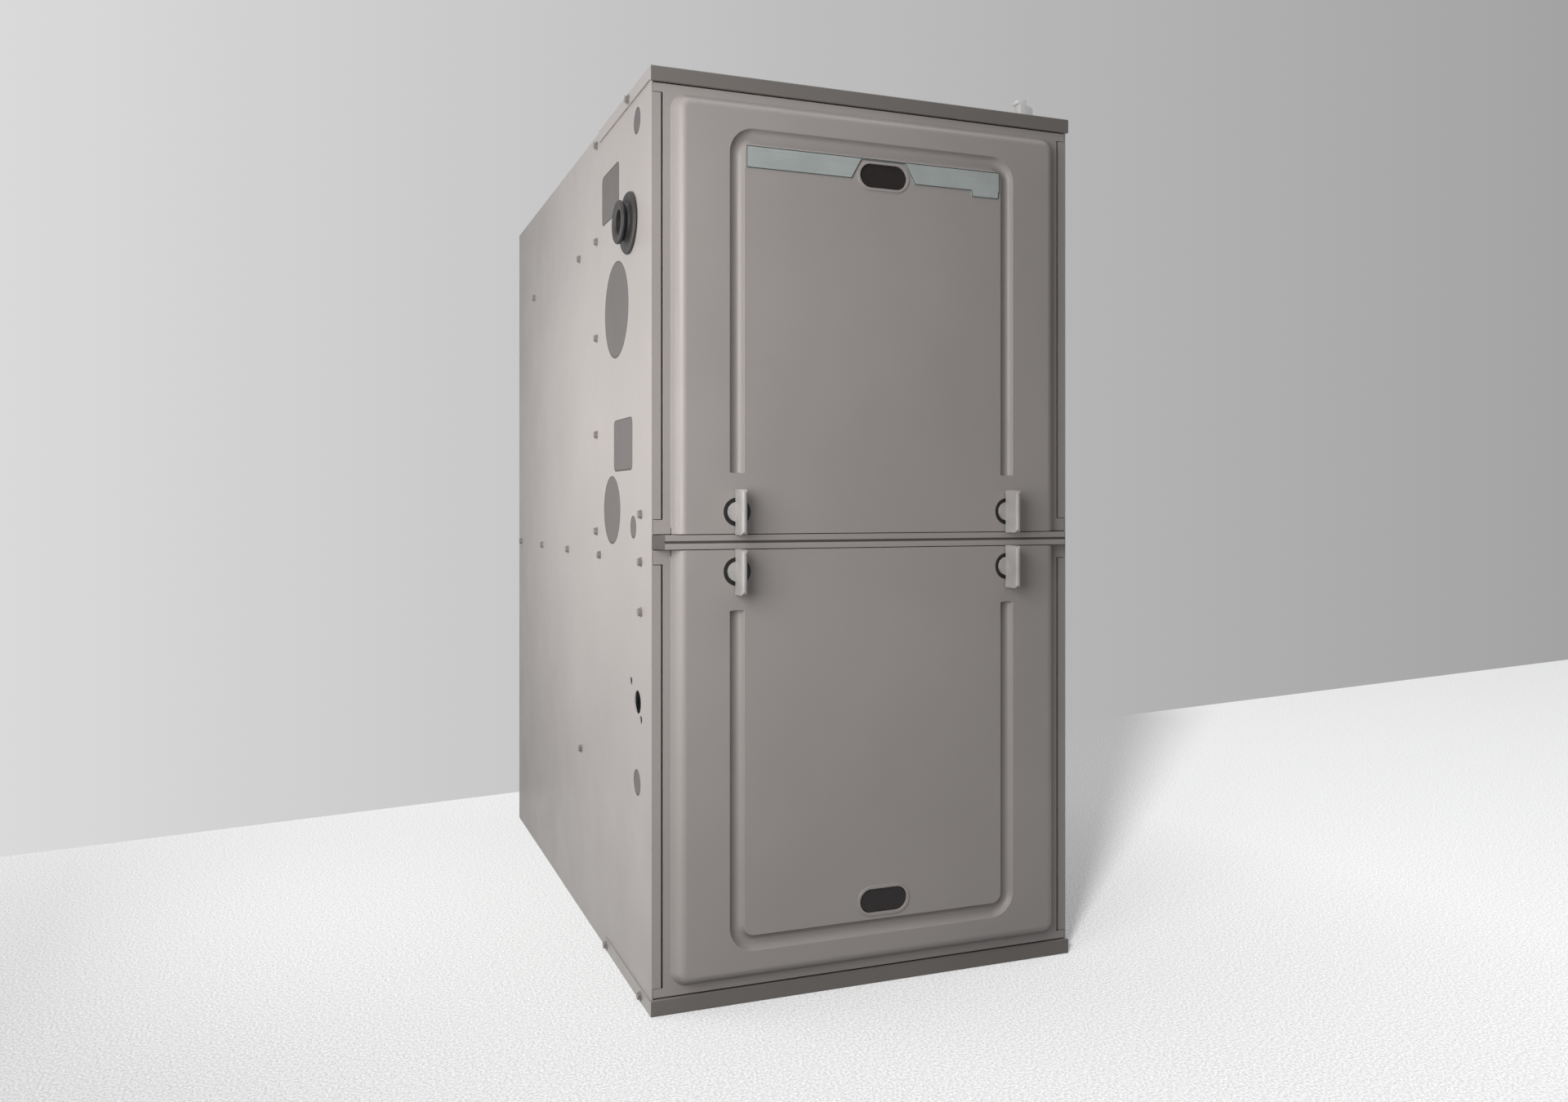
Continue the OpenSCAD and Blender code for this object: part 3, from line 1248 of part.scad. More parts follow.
module wire_harness() {
  low = deck_at + 4;
  color([0.55, 0.12, 0.1]) {
    // gas valve and burner wires down the left of the burner compartment
    hose([[valve_x1 - 30, gas_y - 4, burner_at - 31.3], [valve_x1 - 30, gas_y - 4, box_low],
      [-146, gas_y + 10, box_low - 40], [-140, gas_y + 12, low + 136], [-128, gas_y + 4, low + 76],
      [wire_x - 6, wire_y, low + 36], [wire_x - 4, wire_y, low - 40], [-40, wire_y - 4, low - 154], [port_x + 56, wire_y - 6, 170], [port_x + 62, plate_y - 36, board_z + 14],
      [port_x + 62, plate_y - 21.3, board_z + 14]], 2.6);
  }
  color([0.12, 0.2, 0.5]) {
    hose([[inducer_x - 30, inducer_front - 40, inducer_at - 36.6], [inducer_x - 44, inducer_front - 46, low + 46],
      [0, inducer_front - 30, low + 22], [-60, inducer_front - 16, low + 14], [wire_x + 8, wire_y + 2, low + 10],
      [wire_x + 4, wire_y, low - 40], [-30, wire_y + 6, low - 156], [port_x + 72, wire_y, 150],
      [port_x + 62, plate_y - 36, board_z - 6], [port_x + 62, plate_y - 21.3, board_z - 6]], 2.6);
  }
  color([0.1, 0.1, 0.1]) {
    // blower lead from the motor to the board's left connector
    hose([[motor_x0 + 20, blower_y - motor_r - 0.4, blower_z], [motor_x0 + 20, blower_y - 92, blower_z],
      [-178, -90, 120], [-172, -180, 84], [-164, plate_y - 4, 96], [-124, plate_y - 36, 110],
      [port_x - 62, plate_y - 34, board_z + 4], [port_x - 62, plate_y - 21.3, board_z + 4]], 4);
    // from the junction box to the plate
    hose([[-inner_x + 30, front_y + 56, jbox_z[0] - 1], [-inner_x + 31, front_y + 58, 210],
      [-176, front_y + 66, 160], [-150, front_y + 68, 142], [-100, plate_y - 42, 130],
      [port_x - 52, plate_y - 38, board_z + 36], [port_x - 52, plate_y - 25.3, board_z + 36]], 4);
  }
}

// ---------------------------------------------------------------- doors

// The space inside one raised panel shape, inset by c on every side, from the border to the face.
// v runs away from the rail, along +Z.
module raised_form(v_foot, c, y_face, y_foot) {
  layer = 0.01;
  drop = y_foot - y_face;
  steps = [[0, 0], [0.336, 0.604], [0.458, 0.768], [0.617, 0.894], [0.802, 0.973], [1, 1]];
  cut = 30;
  hull() for (s = steps) {
    inset = c + bevel_w * s[0];
    r = panel_r - bevel_w * s[0] - c * 0.5;
    for (sx = [-1, 1]) {
      translate([sx * (foot_x - inset - r), y_foot - drop * s[1], v_foot - inset - r])
        rotate([90, 0, 0]) cylinder(r = r, h = layer, $fn = 48);
      translate([sx * (foot_x - inset - r), y_foot - drop * s[1], door_v0 - cut])
        rotate([90, 0, 0]) cylinder(r = r, h = layer, $fn = 48);
    }
  }
}

// The pressed groove's path as a round bar of radius r: two legs, two corners and the cross run.
module groove_bar(v_run, r) {
  y = face_y - (groove_r - groove_depth);
  corner_v = v_run - groove_bend_r;
  corner_x = groove_x - groove_bend_r;
  for (s = [-1, 1]) {
    rod_z(s * groove_x, y, [groove_end_v, corner_v], r);
    translate([s * groove_x, y, groove_end_v]) sphere(r = r);
    translate([s * corner_x, y, corner_v]) rotate([-90, 0, 0]) rotate([0, 0, s > 0 ? -90 : 180])
      rotate_extrude(angle = 90) translate([groove_bend_r, 0]) circle(r = r);
  }
  rod_x([-corner_x, corner_x], y, v_run, r);
}

// A door in its own frame: +Z runs from the rail's centre to the door's outer end.
module door(v_end) {
  v_foot = v_end - border_w - 0.8;
  v_run = v_end - groove_run_in;
  v_port = v_end - port_in;
  ear_x = inner_x - 0.3;
  rear = front_y - 0.4;
  difference() {
    union() {
      // border with its ears
      box([-door_x, door_x], [front_y, front_y + door_t], [door_v0, v_end]);
      for (v = [[door_v0, door_v0 + ear_h], [v_end - ear_end_h, v_end]])
        box([-ear_x, ear_x], [front_y, front_y + door_t], v);
      // returns into the casing
      for (s = [-1, 1]) box([s > 0 ? door_x - door_t : -door_x, s > 0 ? door_x : -door_x + door_t],
        [front_y, front_y + door_return_d], [door_v0 + ear_h, v_end - ear_end_h]);
      box([-foot_x, foot_x], [front_y, front_y + door_return_d], [v_end - door_t, v_end]);
      difference() {
        raised_form(v_foot, 0, face_y, front_y + 0.01);
        translate([0, 0, door_v0 - 100]) cube([2 * side_x, 2 * case_d, 200], center = true);
      }
    }
    // hollow behind the raised face, open to the casing; the rail end keeps a wall
    difference() {
      raised_form(v_foot, door_t, face_y + door_t, front_y + door_t + 1);
      box([-side_x, side_x], [face_y - 1, 0], [-100, door_v0 + door_t]);
    }
    // clearance for the keeper strip
    box([-foot_x, foot_x], [rear, front_y + 40], [-eps, keeper_h / 2 + 1]);
    port_hole(v_port);
    for (s = [-1, 1]) rod_y(s * groove_x, [face_y - 1, face_y + 3], latch_v, knob_hole_r);
    groove_bar(v_run, groove_r);
  }
  for (s = [-1, 1]) translate([s * groove_x, 0, latch_v]) knob_cup();
  // the groove's back, pressed into the door
  difference() {
    intersection() {
      groove_bar(v_run, groove_r + door_t);
      box([-side_x, side_x], [face_y + door_t / 2, front_y], [0, v_end]);
    }
    groove_bar(v_run, groove_r);
  }
  // rolled rim round the sight port
  difference() {
    upright([face_y - 0.9, face_y + door_t + 3]) translate([port_x, v_port]) stadium(port_l + 5, port_h + 5);
    port_hole(v_port);
  }
}

module port_hole(v) {
  upright([face_y - 2, face_y + 12]) translate([port_x, v]) stadium(port_l, port_h);
}

module sight_glass(v_end) {
  upright([face_y + 0.9, face_y + 0.9 + glass_t]) translate([port_x, v_end - port_in]) stadium(port_l - 0.4, port_h - 0.4);
  // clip flange behind the door sheet
  upright([face_y + door_t + 3.2, face_y + door_t + 5.2]) translate([port_x, v_end - port_in]) stadium(port_l + 12, port_h + 12);
  upright([face_y + 0.9 + glass_t - 0.1, face_y + door_t + 3.3]) translate([port_x, v_end - port_in]) stadium(port_l - 4, port_h - 4);
}

module in_upper() { translate([0, 0, rail_at]) children(); }
module in_lower() { translate([0, 0, rail_at]) mirror([0, 0, 1]) children(); }

module upper_door() { color([0.6, 0.58, 0.56]) in_upper() door(upper_end); }
module lower_door() { color([0.6, 0.58, 0.56]) in_lower() door(lower_end); }
module upper_sight_glass() { color([0.17, 0.15, 0.15]) in_upper() sight_glass(upper_end); }
module lower_sight_glass() { color([0.17, 0.15, 0.15]) in_lower() sight_glass(lower_end); }

notch_top = 47;
notch_low = 69;
strip_bridge = 1.8;
tab_l = 31;
tab_h = 6;
// The bare metal trim strip at the top of the upper door, cut round the sight port.
module trim_strip() {
  top = port_z + 16.1;
  color([0.74, 0.77, 0.77]) upright([face_y - strip_t - 0.05, face_y - 0.05]) difference() {
    union() {
      translate([-strip_x, top - strip_h]) square([2 * strip_x, strip_h]);
      translate([strip_x - tab_l / 2 - 1, top - strip_h]) round_rect(tab_l, 2 * tab_h, 2.4);
    }
    polygon([[port_x - notch_low / 2, top - strip_h - 1], [port_x - notch_top / 2, top - strip_bridge],
      [port_x + notch_top / 2, top - strip_bridge], [port_x + notch_low / 2, top - strip_h - 1]]);
  }
}

// ---------------------------------------------------------------- latches

cup_depth = 6.5;
cup_floor = 3;
disc_back = face_y + cup_depth - 0.3;
pawl_y = front_y + sheet_t + 2.8;
pawl_t = 3;

// The drawn cup in a door that a latch turns in, with the bearing hole in its floor.
module knob_cup() {
  difference() {
    rod_y(0, [face_y + door_t - 0.3, face_y + cup_depth + cup_floor], 0, knob_hole_r + door_t);
    rod_y(0, [face_y, face_y + cup_depth], 0, knob_hole_r);
    rod_y(0, [face_y, front_y], 0, latch_shaft_r + run_gap);
  }
}

// A latch with its axis along Y at the origin; its pawl points down to the rail.
module latch() {
  disc_front = face_y - 2;
  tip_r = grip_t / 2;
  color([0.68, 0.66, 0.64]) {
    rod_y(0, [disc_front, disc_back], 0, knob_r);
    rod_y(0, [disc_back - eps, pawl_y + 1], 0, latch_shaft_r);
    intersection() {
      // section along the grip: straight sides with a round nose
      translate([0, 0, -grip_l / 2]) linear_extrude(grip_l) {
        translate([-tip_r, disc_front - grip_out + tip_r]) square([grip_t, grip_out - tip_r + eps]);
        translate([0, disc_front - grip_out + tip_r]) circle(r = tip_r);
      }
      // side view of the grip: a plate with round outer corners
      sideways([-tip_r - 1, tip_r + 1]) translate([disc_front - grip_out / 2 + 2, 0])
        round_rect(grip_out + 4, grip_l, 5);
    }
  }
  // pawl on the shaft's inner end, and the collar that keeps the latch in its cup
  color([0.68, 0.66, 0.64]) {
    rod_y(0, [face_y + cup_depth + cup_floor + 0.3, pawl_y + pawl_t], 0, 8);
    box([-6, 6], [pawl_y, pawl_y + pawl_t], [-(latch_v - keeper_h / 2 - pawl_gap), 0]);
  }
}

module upper_left_latch() { in_upper() translate([-groove_x, 0, latch_v]) latch(); }
module upper_right_latch() { in_upper() translate([groove_x, 0, latch_v]) latch(); }
module lower_left_latch() { in_lower() translate([-groove_x, 0, latch_v]) latch(); }
module lower_right_latch() { in_lower() translate([groove_x, 0, latch_v]) latch(); }

left_side_panel();
right_side_panel();
back_panel();
top_plate();
base_plate();
centre_rail();
blower_deck();
vestibule_wall();
insulation_liner();
supply_flange();
casing_screws();
gas_pipe_grommet();
wire_clip();
pipe_couplings();
pipe_clamps();
inner_pipes();
burner_box();
burners();
burner_orifices();
manifold_pipe();
gas_valve();
valve_switch();
igniter();
flame_sensor();
rollout_switch();
rollout_reset_button();
limit_switch();
heat_exchanger_tubes();
rear_header();
secondary_coil();
collector_box();
inducer_housing();
inducer_motor();
inducer_wheel();
pressure_switches();
pressure_hoses();
condensate_trap();
drain_hose();
blower_housing();
blower_wheel();
blower_shaft();
blower_motor();
motor_mount();
control_plate();
control_board();
transformer();
capacitor();
junction_box();
door_switch();
door_switch_plunger();
wire_harness();
upper_door();
upper_sight_glass();
trim_strip();
lower_door();
lower_sight_glass();
upper_left_latch();
upper_right_latch();
lower_left_latch();
lower_right_latch();
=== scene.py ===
"""Looks of the forced air gas furnace: painted casing, lift-off doors, latches and the parts behind them."""
import json
import math
import bmesh
import bpy
from mathutils import Matrix, Vector


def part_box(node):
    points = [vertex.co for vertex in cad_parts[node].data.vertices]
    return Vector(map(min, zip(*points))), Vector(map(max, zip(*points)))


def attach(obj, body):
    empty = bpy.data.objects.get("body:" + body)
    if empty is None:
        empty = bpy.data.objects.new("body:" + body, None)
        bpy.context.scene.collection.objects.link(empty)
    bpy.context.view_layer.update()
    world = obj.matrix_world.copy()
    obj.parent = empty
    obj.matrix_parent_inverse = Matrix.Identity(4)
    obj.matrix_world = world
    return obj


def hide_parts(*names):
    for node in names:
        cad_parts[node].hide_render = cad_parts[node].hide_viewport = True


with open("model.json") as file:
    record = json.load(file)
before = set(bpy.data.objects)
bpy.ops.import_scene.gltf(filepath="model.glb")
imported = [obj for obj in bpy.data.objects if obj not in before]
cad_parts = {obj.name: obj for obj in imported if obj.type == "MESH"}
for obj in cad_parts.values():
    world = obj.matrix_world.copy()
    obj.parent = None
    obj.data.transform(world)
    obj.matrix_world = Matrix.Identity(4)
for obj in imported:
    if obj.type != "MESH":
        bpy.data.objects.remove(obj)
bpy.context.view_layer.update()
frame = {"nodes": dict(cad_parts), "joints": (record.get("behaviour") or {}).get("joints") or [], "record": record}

MM = 0.001

# ---------------------------------------------------------------- camera

PHOTO_W, PHOTO_H = 1920, 1350
CAMERA_AT = Vector((-0.5124, -1.3909, 0.4652))
CAMERA_TURN = -20.03
LENS_MM = 26.99
SHIFT = (0.0281, -0.0299)


def make_camera():
    data = bpy.data.cameras.new("photo_camera")
    data.sensor_width = 36
    data.lens = LENS_MM
    data.shift_x, data.shift_y = SHIFT
    data.clip_start, data.clip_end = 0.02, 60
    camera = bpy.data.objects.new("photo_camera", data)
    camera.location = CAMERA_AT
    camera.rotation_euler = (math.radians(90), 0, math.radians(CAMERA_TURN))
    bpy.context.scene.collection.objects.link(camera)
    bpy.context.scene.camera = camera


def floor_point(px, py):
    """Where the photograph's pixel meets the floor."""
    focal = LENS_MM / 36 * PHOTO_W
    right = (px - PHOTO_W / 2) / focal + SHIFT[0] * PHOTO_W / focal
    down = (py - PHOTO_H / 2) / focal - SHIFT[1] * PHOTO_W / focal
    turn = Matrix.Rotation(math.radians(CAMERA_TURN), 3, "Z")
    ray = turn @ Vector((right, 1, -down))
    return CAMERA_AT + ray * (CAMERA_AT.z / -ray.z)


make_camera()

# ---------------------------------------------------------------- shared finish effects


def group_tree(name, inputs, outputs):
    """A shader node group with float inputs (name: default) and typed outputs."""
    tree = bpy.data.node_groups.new(name, "ShaderNodeTree")
    for label, default in inputs.items():
        socket = tree.interface.new_socket(label, in_out="INPUT", socket_type="NodeSocketFloat")
        socket.default_value = default
    for label, kind in outputs.items():
        tree.interface.new_socket(label, in_out="OUTPUT", socket_type="NodeSocket" + kind)
    return tree, tree.nodes.new("NodeGroupInput"), tree.nodes.new("NodeGroupOutput")


def add(tree, kind, **settings):
    """A node of a kind, with its properties and its unlinked inputs set by name."""
    node = tree.nodes.new("ShaderNode" + kind)
    for key, value in settings.items():
        if hasattr(node, key):
            setattr(node, key, value)
        else:
            node.inputs[key.replace("_", " ")].default_value = value
    return node


def join(tree, start, end):
    tree.links.new(start, end)


def do_math(tree, operation, first, second):
    """A Math node on two sockets or numbers."""
    node = add(tree, "Math", operation=operation)
    for slot, value in enumerate((first, second)):
        if isinstance(value, (int, float)):
            node.inputs[slot].default_value = value
        else:
            join(tree, value, node.inputs[slot])
    return node.outputs[0]


def remap(tree, value, low, high, to_low, to_high):
    node = add(tree, "MapRange")
    join(tree, value, node.inputs["Value"])
    for label, number in (("From Min", low), ("From Max", high), ("To Min", to_low), ("To Max", to_high)):
        if isinstance(number, (int, float)):
            node.inputs[label].default_value = number
        else:
            join(tree, number, node.inputs[label])
    return node.outputs[0]


def build_mottle():
    """Slow patchy change over a surface, between Low and High, with patches about 1 / Scale metres across."""
    tree, inn, out = group_tree("mottle", {"Scale": 8, "Low": 0, "High": 1}, {"Value": "Float"})
    place = add(tree, "TexCoord")
    noise = add(tree, "TexNoise", Detail=3.0, Roughness=0.55)
    join(tree, place.outputs["Object"], noise.inputs["Vector"])
    join(tree, inn.outputs["Scale"], noise.inputs["Scale"])
    value = remap(tree, noise.outputs["Fac"], 0.34, 0.66, inn.outputs["Low"], inn.outputs["High"])
    join(tree, value, out.inputs["Value"])
    return tree


def build_peel():
    """The fine orange peel of sprayed paint, or the grain of moulded plastic, as a height."""
    tree, inn, out = group_tree("peel", {"Scale": 600, "Soft": 0.3}, {"Height": "Float"})
    place = add(tree, "TexCoord")
    noise = add(tree, "TexNoise", Detail=1.5)
    join(tree, place.outputs["Object"], noise.inputs["Vector"])
    join(tree, inn.outputs["Scale"], noise.inputs["Scale"])
    join(tree, inn.outputs["Soft"], noise.inputs["Roughness"])
    join(tree, noise.outputs["Fac"], out.inputs["Height"])
    return tree


def build_dust():
    """Dust that settles on faces that look up, thicker in some patches."""
    tree, inn, out = group_tree("settled_dust", {"Amount": 0.3, "Scale": 20}, {"Mask": "Float"})
    place = add(tree, "TexCoord")
    facing = add(tree, "NewGeometry")
    parts = add(tree, "SeparateXYZ")
    join(tree, facing.outputs["Normal"], parts.inputs[0])
    up = remap(tree, parts.outputs["Z"], 0.35, 1.0, 0.0, 1.0)
    noise = add(tree, "TexNoise", Detail=5.0, Roughness=0.6)
    join(tree, place.outputs["Object"], noise.inputs["Vector"])
    join(tree, inn.outputs["Scale"], noise.inputs["Scale"])
    patch = remap(tree, noise.outputs["Fac"], 0.3, 0.7, 0.35, 1.0)
    mask = do_math(tree, "MULTIPLY", do_math(tree, "MULTIPLY", up, patch), inn.outputs["Amount"])
    join(tree, mask, out.inputs["Mask"])
    return tree


def build_edge_wear():
    """Edges that hands and cartons have rubbed, broken up by noise."""
    tree, inn, out = group_tree("edge_wear", {"Amount": 0.5, "Scale": 90}, {"Mask": "Float"})
    place = add(tree, "TexCoord")
    shape = add(tree, "NewGeometry")
    edge = remap(tree, shape.outputs["Pointiness"], 0.52, 0.6, 0.0, 1.0)
    noise = add(tree, "TexNoise", Detail=4.0, Roughness=0.65)
    join(tree, place.outputs["Object"], noise.inputs["Vector"])
    join(tree, inn.outputs["Scale"], noise.inputs["Scale"])
    rubbed = remap(tree, noise.outputs["Fac"], 0.42, 0.62, 0.0, 1.0)
    mask = do_math(tree, "MULTIPLY", do_math(tree, "MULTIPLY", edge, rubbed), inn.outputs["Amount"])
    join(tree, mask, out.inputs["Mask"])
    return tree


def build_spangle():
    """The crystal flakes of a zinc coating, each a little lighter or darker."""
    tree, inn, out = group_tree("zinc_spangle", {"Scale": 90, "Low": 0, "High": 1}, {"Value": "Float"})
    place = add(tree, "TexCoord")
    flake = add(tree, "TexVoronoi", feature="F1")
    join(tree, place.outputs["Object"], flake.inputs["Vector"])
    join(tree, inn.outputs["Scale"], flake.inputs["Scale"])
    parts = add(tree, "SeparateColor")
    join(tree, flake.outputs["Color"], parts.inputs[0])
    value = remap(tree, parts.outputs[0], 0.0, 1.0, inn.outputs["Low"], inn.outputs["High"])
    join(tree, value, out.inputs["Value"])
    return tree


def build_brushed():
    """Fine rolling or brushing lines along one axis; the two stretches set which."""
    tree, inn, out = group_tree("brushed_lines", {"Across": 900, "Along": 12, "Turn": 0}, {"Value": "Float"})
    place = add(tree, "TexCoord")
    parts = add(tree, "SeparateXYZ")
    join(tree, place.outputs["Object"], parts.inputs[0])
    mixed = add(tree, "CombineXYZ")
    x_scale = remap(tree, inn.outputs["Turn"], 0.0, 1.0, inn.outputs["Along"], inn.outputs["Across"])
    z_scale = remap(tree, inn.outputs["Turn"], 0.0, 1.0, inn.outputs["Across"], inn.outputs["Along"])
    join(tree, do_math(tree, "MULTIPLY", parts.outputs["X"], x_scale), mixed.inputs["X"])
    join(tree, do_math(tree, "MULTIPLY", parts.outputs["Y"], inn.outputs["Along"]), mixed.inputs["Y"])
    join(tree, do_math(tree, "MULTIPLY", parts.outputs["Z"], z_scale), mixed.inputs["Z"])
    noise = add(tree, "TexNoise", Scale=1.0, Detail=2.0, Roughness=0.6)
    join(tree, mixed.outputs[0], noise.inputs["Vector"])
    join(tree, noise.outputs["Fac"], out.inputs["Value"])
    return tree


MOTTLE = build_mottle()
PEEL = build_peel()
DUST = build_dust()
EDGE_WEAR = build_edge_wear()
SPANGLE = build_spangle()
BRUSHED = build_brushed()


def effect(tree, group, **values):
    """A shared effect placed in a material with its own values."""
    node = tree.nodes.new("ShaderNodeGroup")
    node.node_tree = group
    for label, value in values.items():
        node.inputs[label].default_value = value
    return node.outputs[0]


def srgb(red, green, blue):
    """A colour as an image program shows it, 0 to 255, turned into the light it stands for."""
    def line(value):
        value /= 255
        return value / 12.92 if value <= 0.04045 else ((value + 0.055) / 1.055) ** 2.4
    return (line(red), line(green), line(blue), 1.0)


def shade(colour, factor):
    return (colour[0] * factor, colour[1] * factor, colour[2] * factor, 1.0)


def blend_colour(tree, amount, low, high):
    """A colour between two, by a mask; either may be a socket or a colour."""
    node = add(tree, "Mix", data_type="RGBA")
    join(tree, amount, node.inputs["Factor"])
    for slot, value in ((6, low), (7, high)):
        if isinstance(value, tuple):
            node.inputs[slot].default_value = value
        else:
            join(tree, value, node.inputs[slot])
    return node.outputs[2]


def bump(tree, height, strength, distance):
    node = add(tree, "Bump", Strength=strength, Distance=distance)
    join(tree, height, node.inputs["Height"])
    return node.outputs["Normal"]


def start_finish(name):
    material = bpy.data.materials.new(name)
    material.use_nodes = True
    tree = material.node_tree
    tree.nodes.clear()
    out = tree.nodes.new("ShaderNodeOutputMaterial")
    bsdf = tree.nodes.new("ShaderNodeBsdfPrincipled")
    join(tree, bsdf.outputs[0], out.inputs[0])
    return material, tree, bsdf


def painted_sheet(name, colour, rough=(0.36, 0.46), dust=0.12):
    """Sprayed satin paint on steel: orange peel, a slow change of tone and a little dust."""
    material, tree, bsdf = start_finish(name)
    tone = effect(tree, MOTTLE, Scale=5.0, Low=0.0, High=1.0)
    base = blend_colour(tree, tone, shade(colour, 0.965), shade(colour, 1.035))
    dusty = effect(tree, DUST, Amount=dust, Scale=26.0)
    base = blend_colour(tree, dusty, base, srgb(176, 170, 160))
    join(tree, base, bsdf.inputs["Base Color"])
    slow = effect(tree, MOTTLE, Scale=14.0, Low=rough[0], High=rough[1])
    join(tree, slow, bsdf.inputs["Roughness"])
    peel = effect(tree, PEEL, Scale=750.0, Soft=0.35)
    join(tree, bump(tree, peel, 0.055, 0.0004), bsdf.inputs["Normal"])
    bsdf.inputs["Specular IOR Level"].default_value = 0.5
    return material


def zinc_sheet(name, colour, flake=70.0, metal=0.75):
    """Galvanised or aluminised sheet with its spangle and fine scratches."""
    material, tree, bsdf = start_finish(name)
    cells = effect(tree, SPANGLE, Scale=flake, Low=0.0, High=1.0)
    base = blend_colour(tree, cells, shade(colour, 0.86), shade(colour, 1.1))
    dusty = effect(tree, DUST, Amount=0.3, Scale=18.0)
    base = blend_colour(tree, dusty, base, srgb(170, 164, 154))
    join(tree, base, bsdf.inputs["Base Color"])
    join(tree, remap(tree, cells, 0.0, 1.0, 0.3, 0.46), bsdf.inputs["Roughness"])
    bsdf.inputs["Metallic"].default_value = metal
    scratches = effect(tree, BRUSHED, Across=1400.0, Along=30.0, Turn=0.0)
    join(tree, bump(tree, scratches, 0.12, 0.0002), bsdf.inputs["Normal"])
    return material


def bare_metal(name, colour, rough=(0.22, 0.36), metal=1.0, across=1600.0, along=25.0):
    """Turned, rolled or brushed metal."""
    material, tree, bsdf = start_finish(name)
    lines = effect(tree, BRUSHED, Across=across, Along=along, Turn=0.0)
    base = blend_colour(tree, lines, shade(colour, 0.85), shade(colour, 1.12))
    tone = effect(tree, MOTTLE, Scale=30.0, Low=0.0, High=0.25)
    base = blend_colour(tree, tone, base, shade(colour, 0.6))
    join(tree, base, bsdf.inputs["Base Color"])
    join(tree, remap(tree, lines, 0.3, 0.7, rough[0], rough[1]), bsdf.inputs["Roughness"])
    bsdf.inputs["Metallic"].default_value = metal
    join(tree, bump(tree, lines, 0.15, 0.0002), bsdf.inputs["Normal"])
    return material


WORN_LIGHTER = 1.6


def moulded(name, colour, rough=(0.42, 0.55), grain=900.0, bite=0.1, dust=0.1, wear=0.2):
    """Moulded plastic or rubber with a fine grain."""
    material, tree, bsdf = start_finish(name)
    tone = effect(tree, MOTTLE, Scale=40.0, Low=0.0, High=1.0)
    base = blend_colour(tree, tone, shade(colour, 0.9), shade(colour, 1.08))
    worn = effect(tree, EDGE_WEAR, Amount=wear, Scale=300.0)
    base = blend_colour(tree, worn, base, shade(colour, WORN_LIGHTER))
    dusty = effect(tree, DUST, Amount=dust, Scale=60.0)
    base = blend_colour(tree, dusty, base, srgb(170, 165, 156))
    join(tree, base, bsdf.inputs["Base Color"])
    slow = effect(tree, MOTTLE, Scale=70.0, Low=rough[0], High=rough[1])
    join(tree, slow, bsdf.inputs["Roughness"])
    fine = effect(tree, PEEL, Scale=grain, Soft=0.6)
    join(tree, bump(tree, fine, bite, 0.0003), bsdf.inputs["Normal"])
    return material


PAINT = srgb(160, 154, 151)

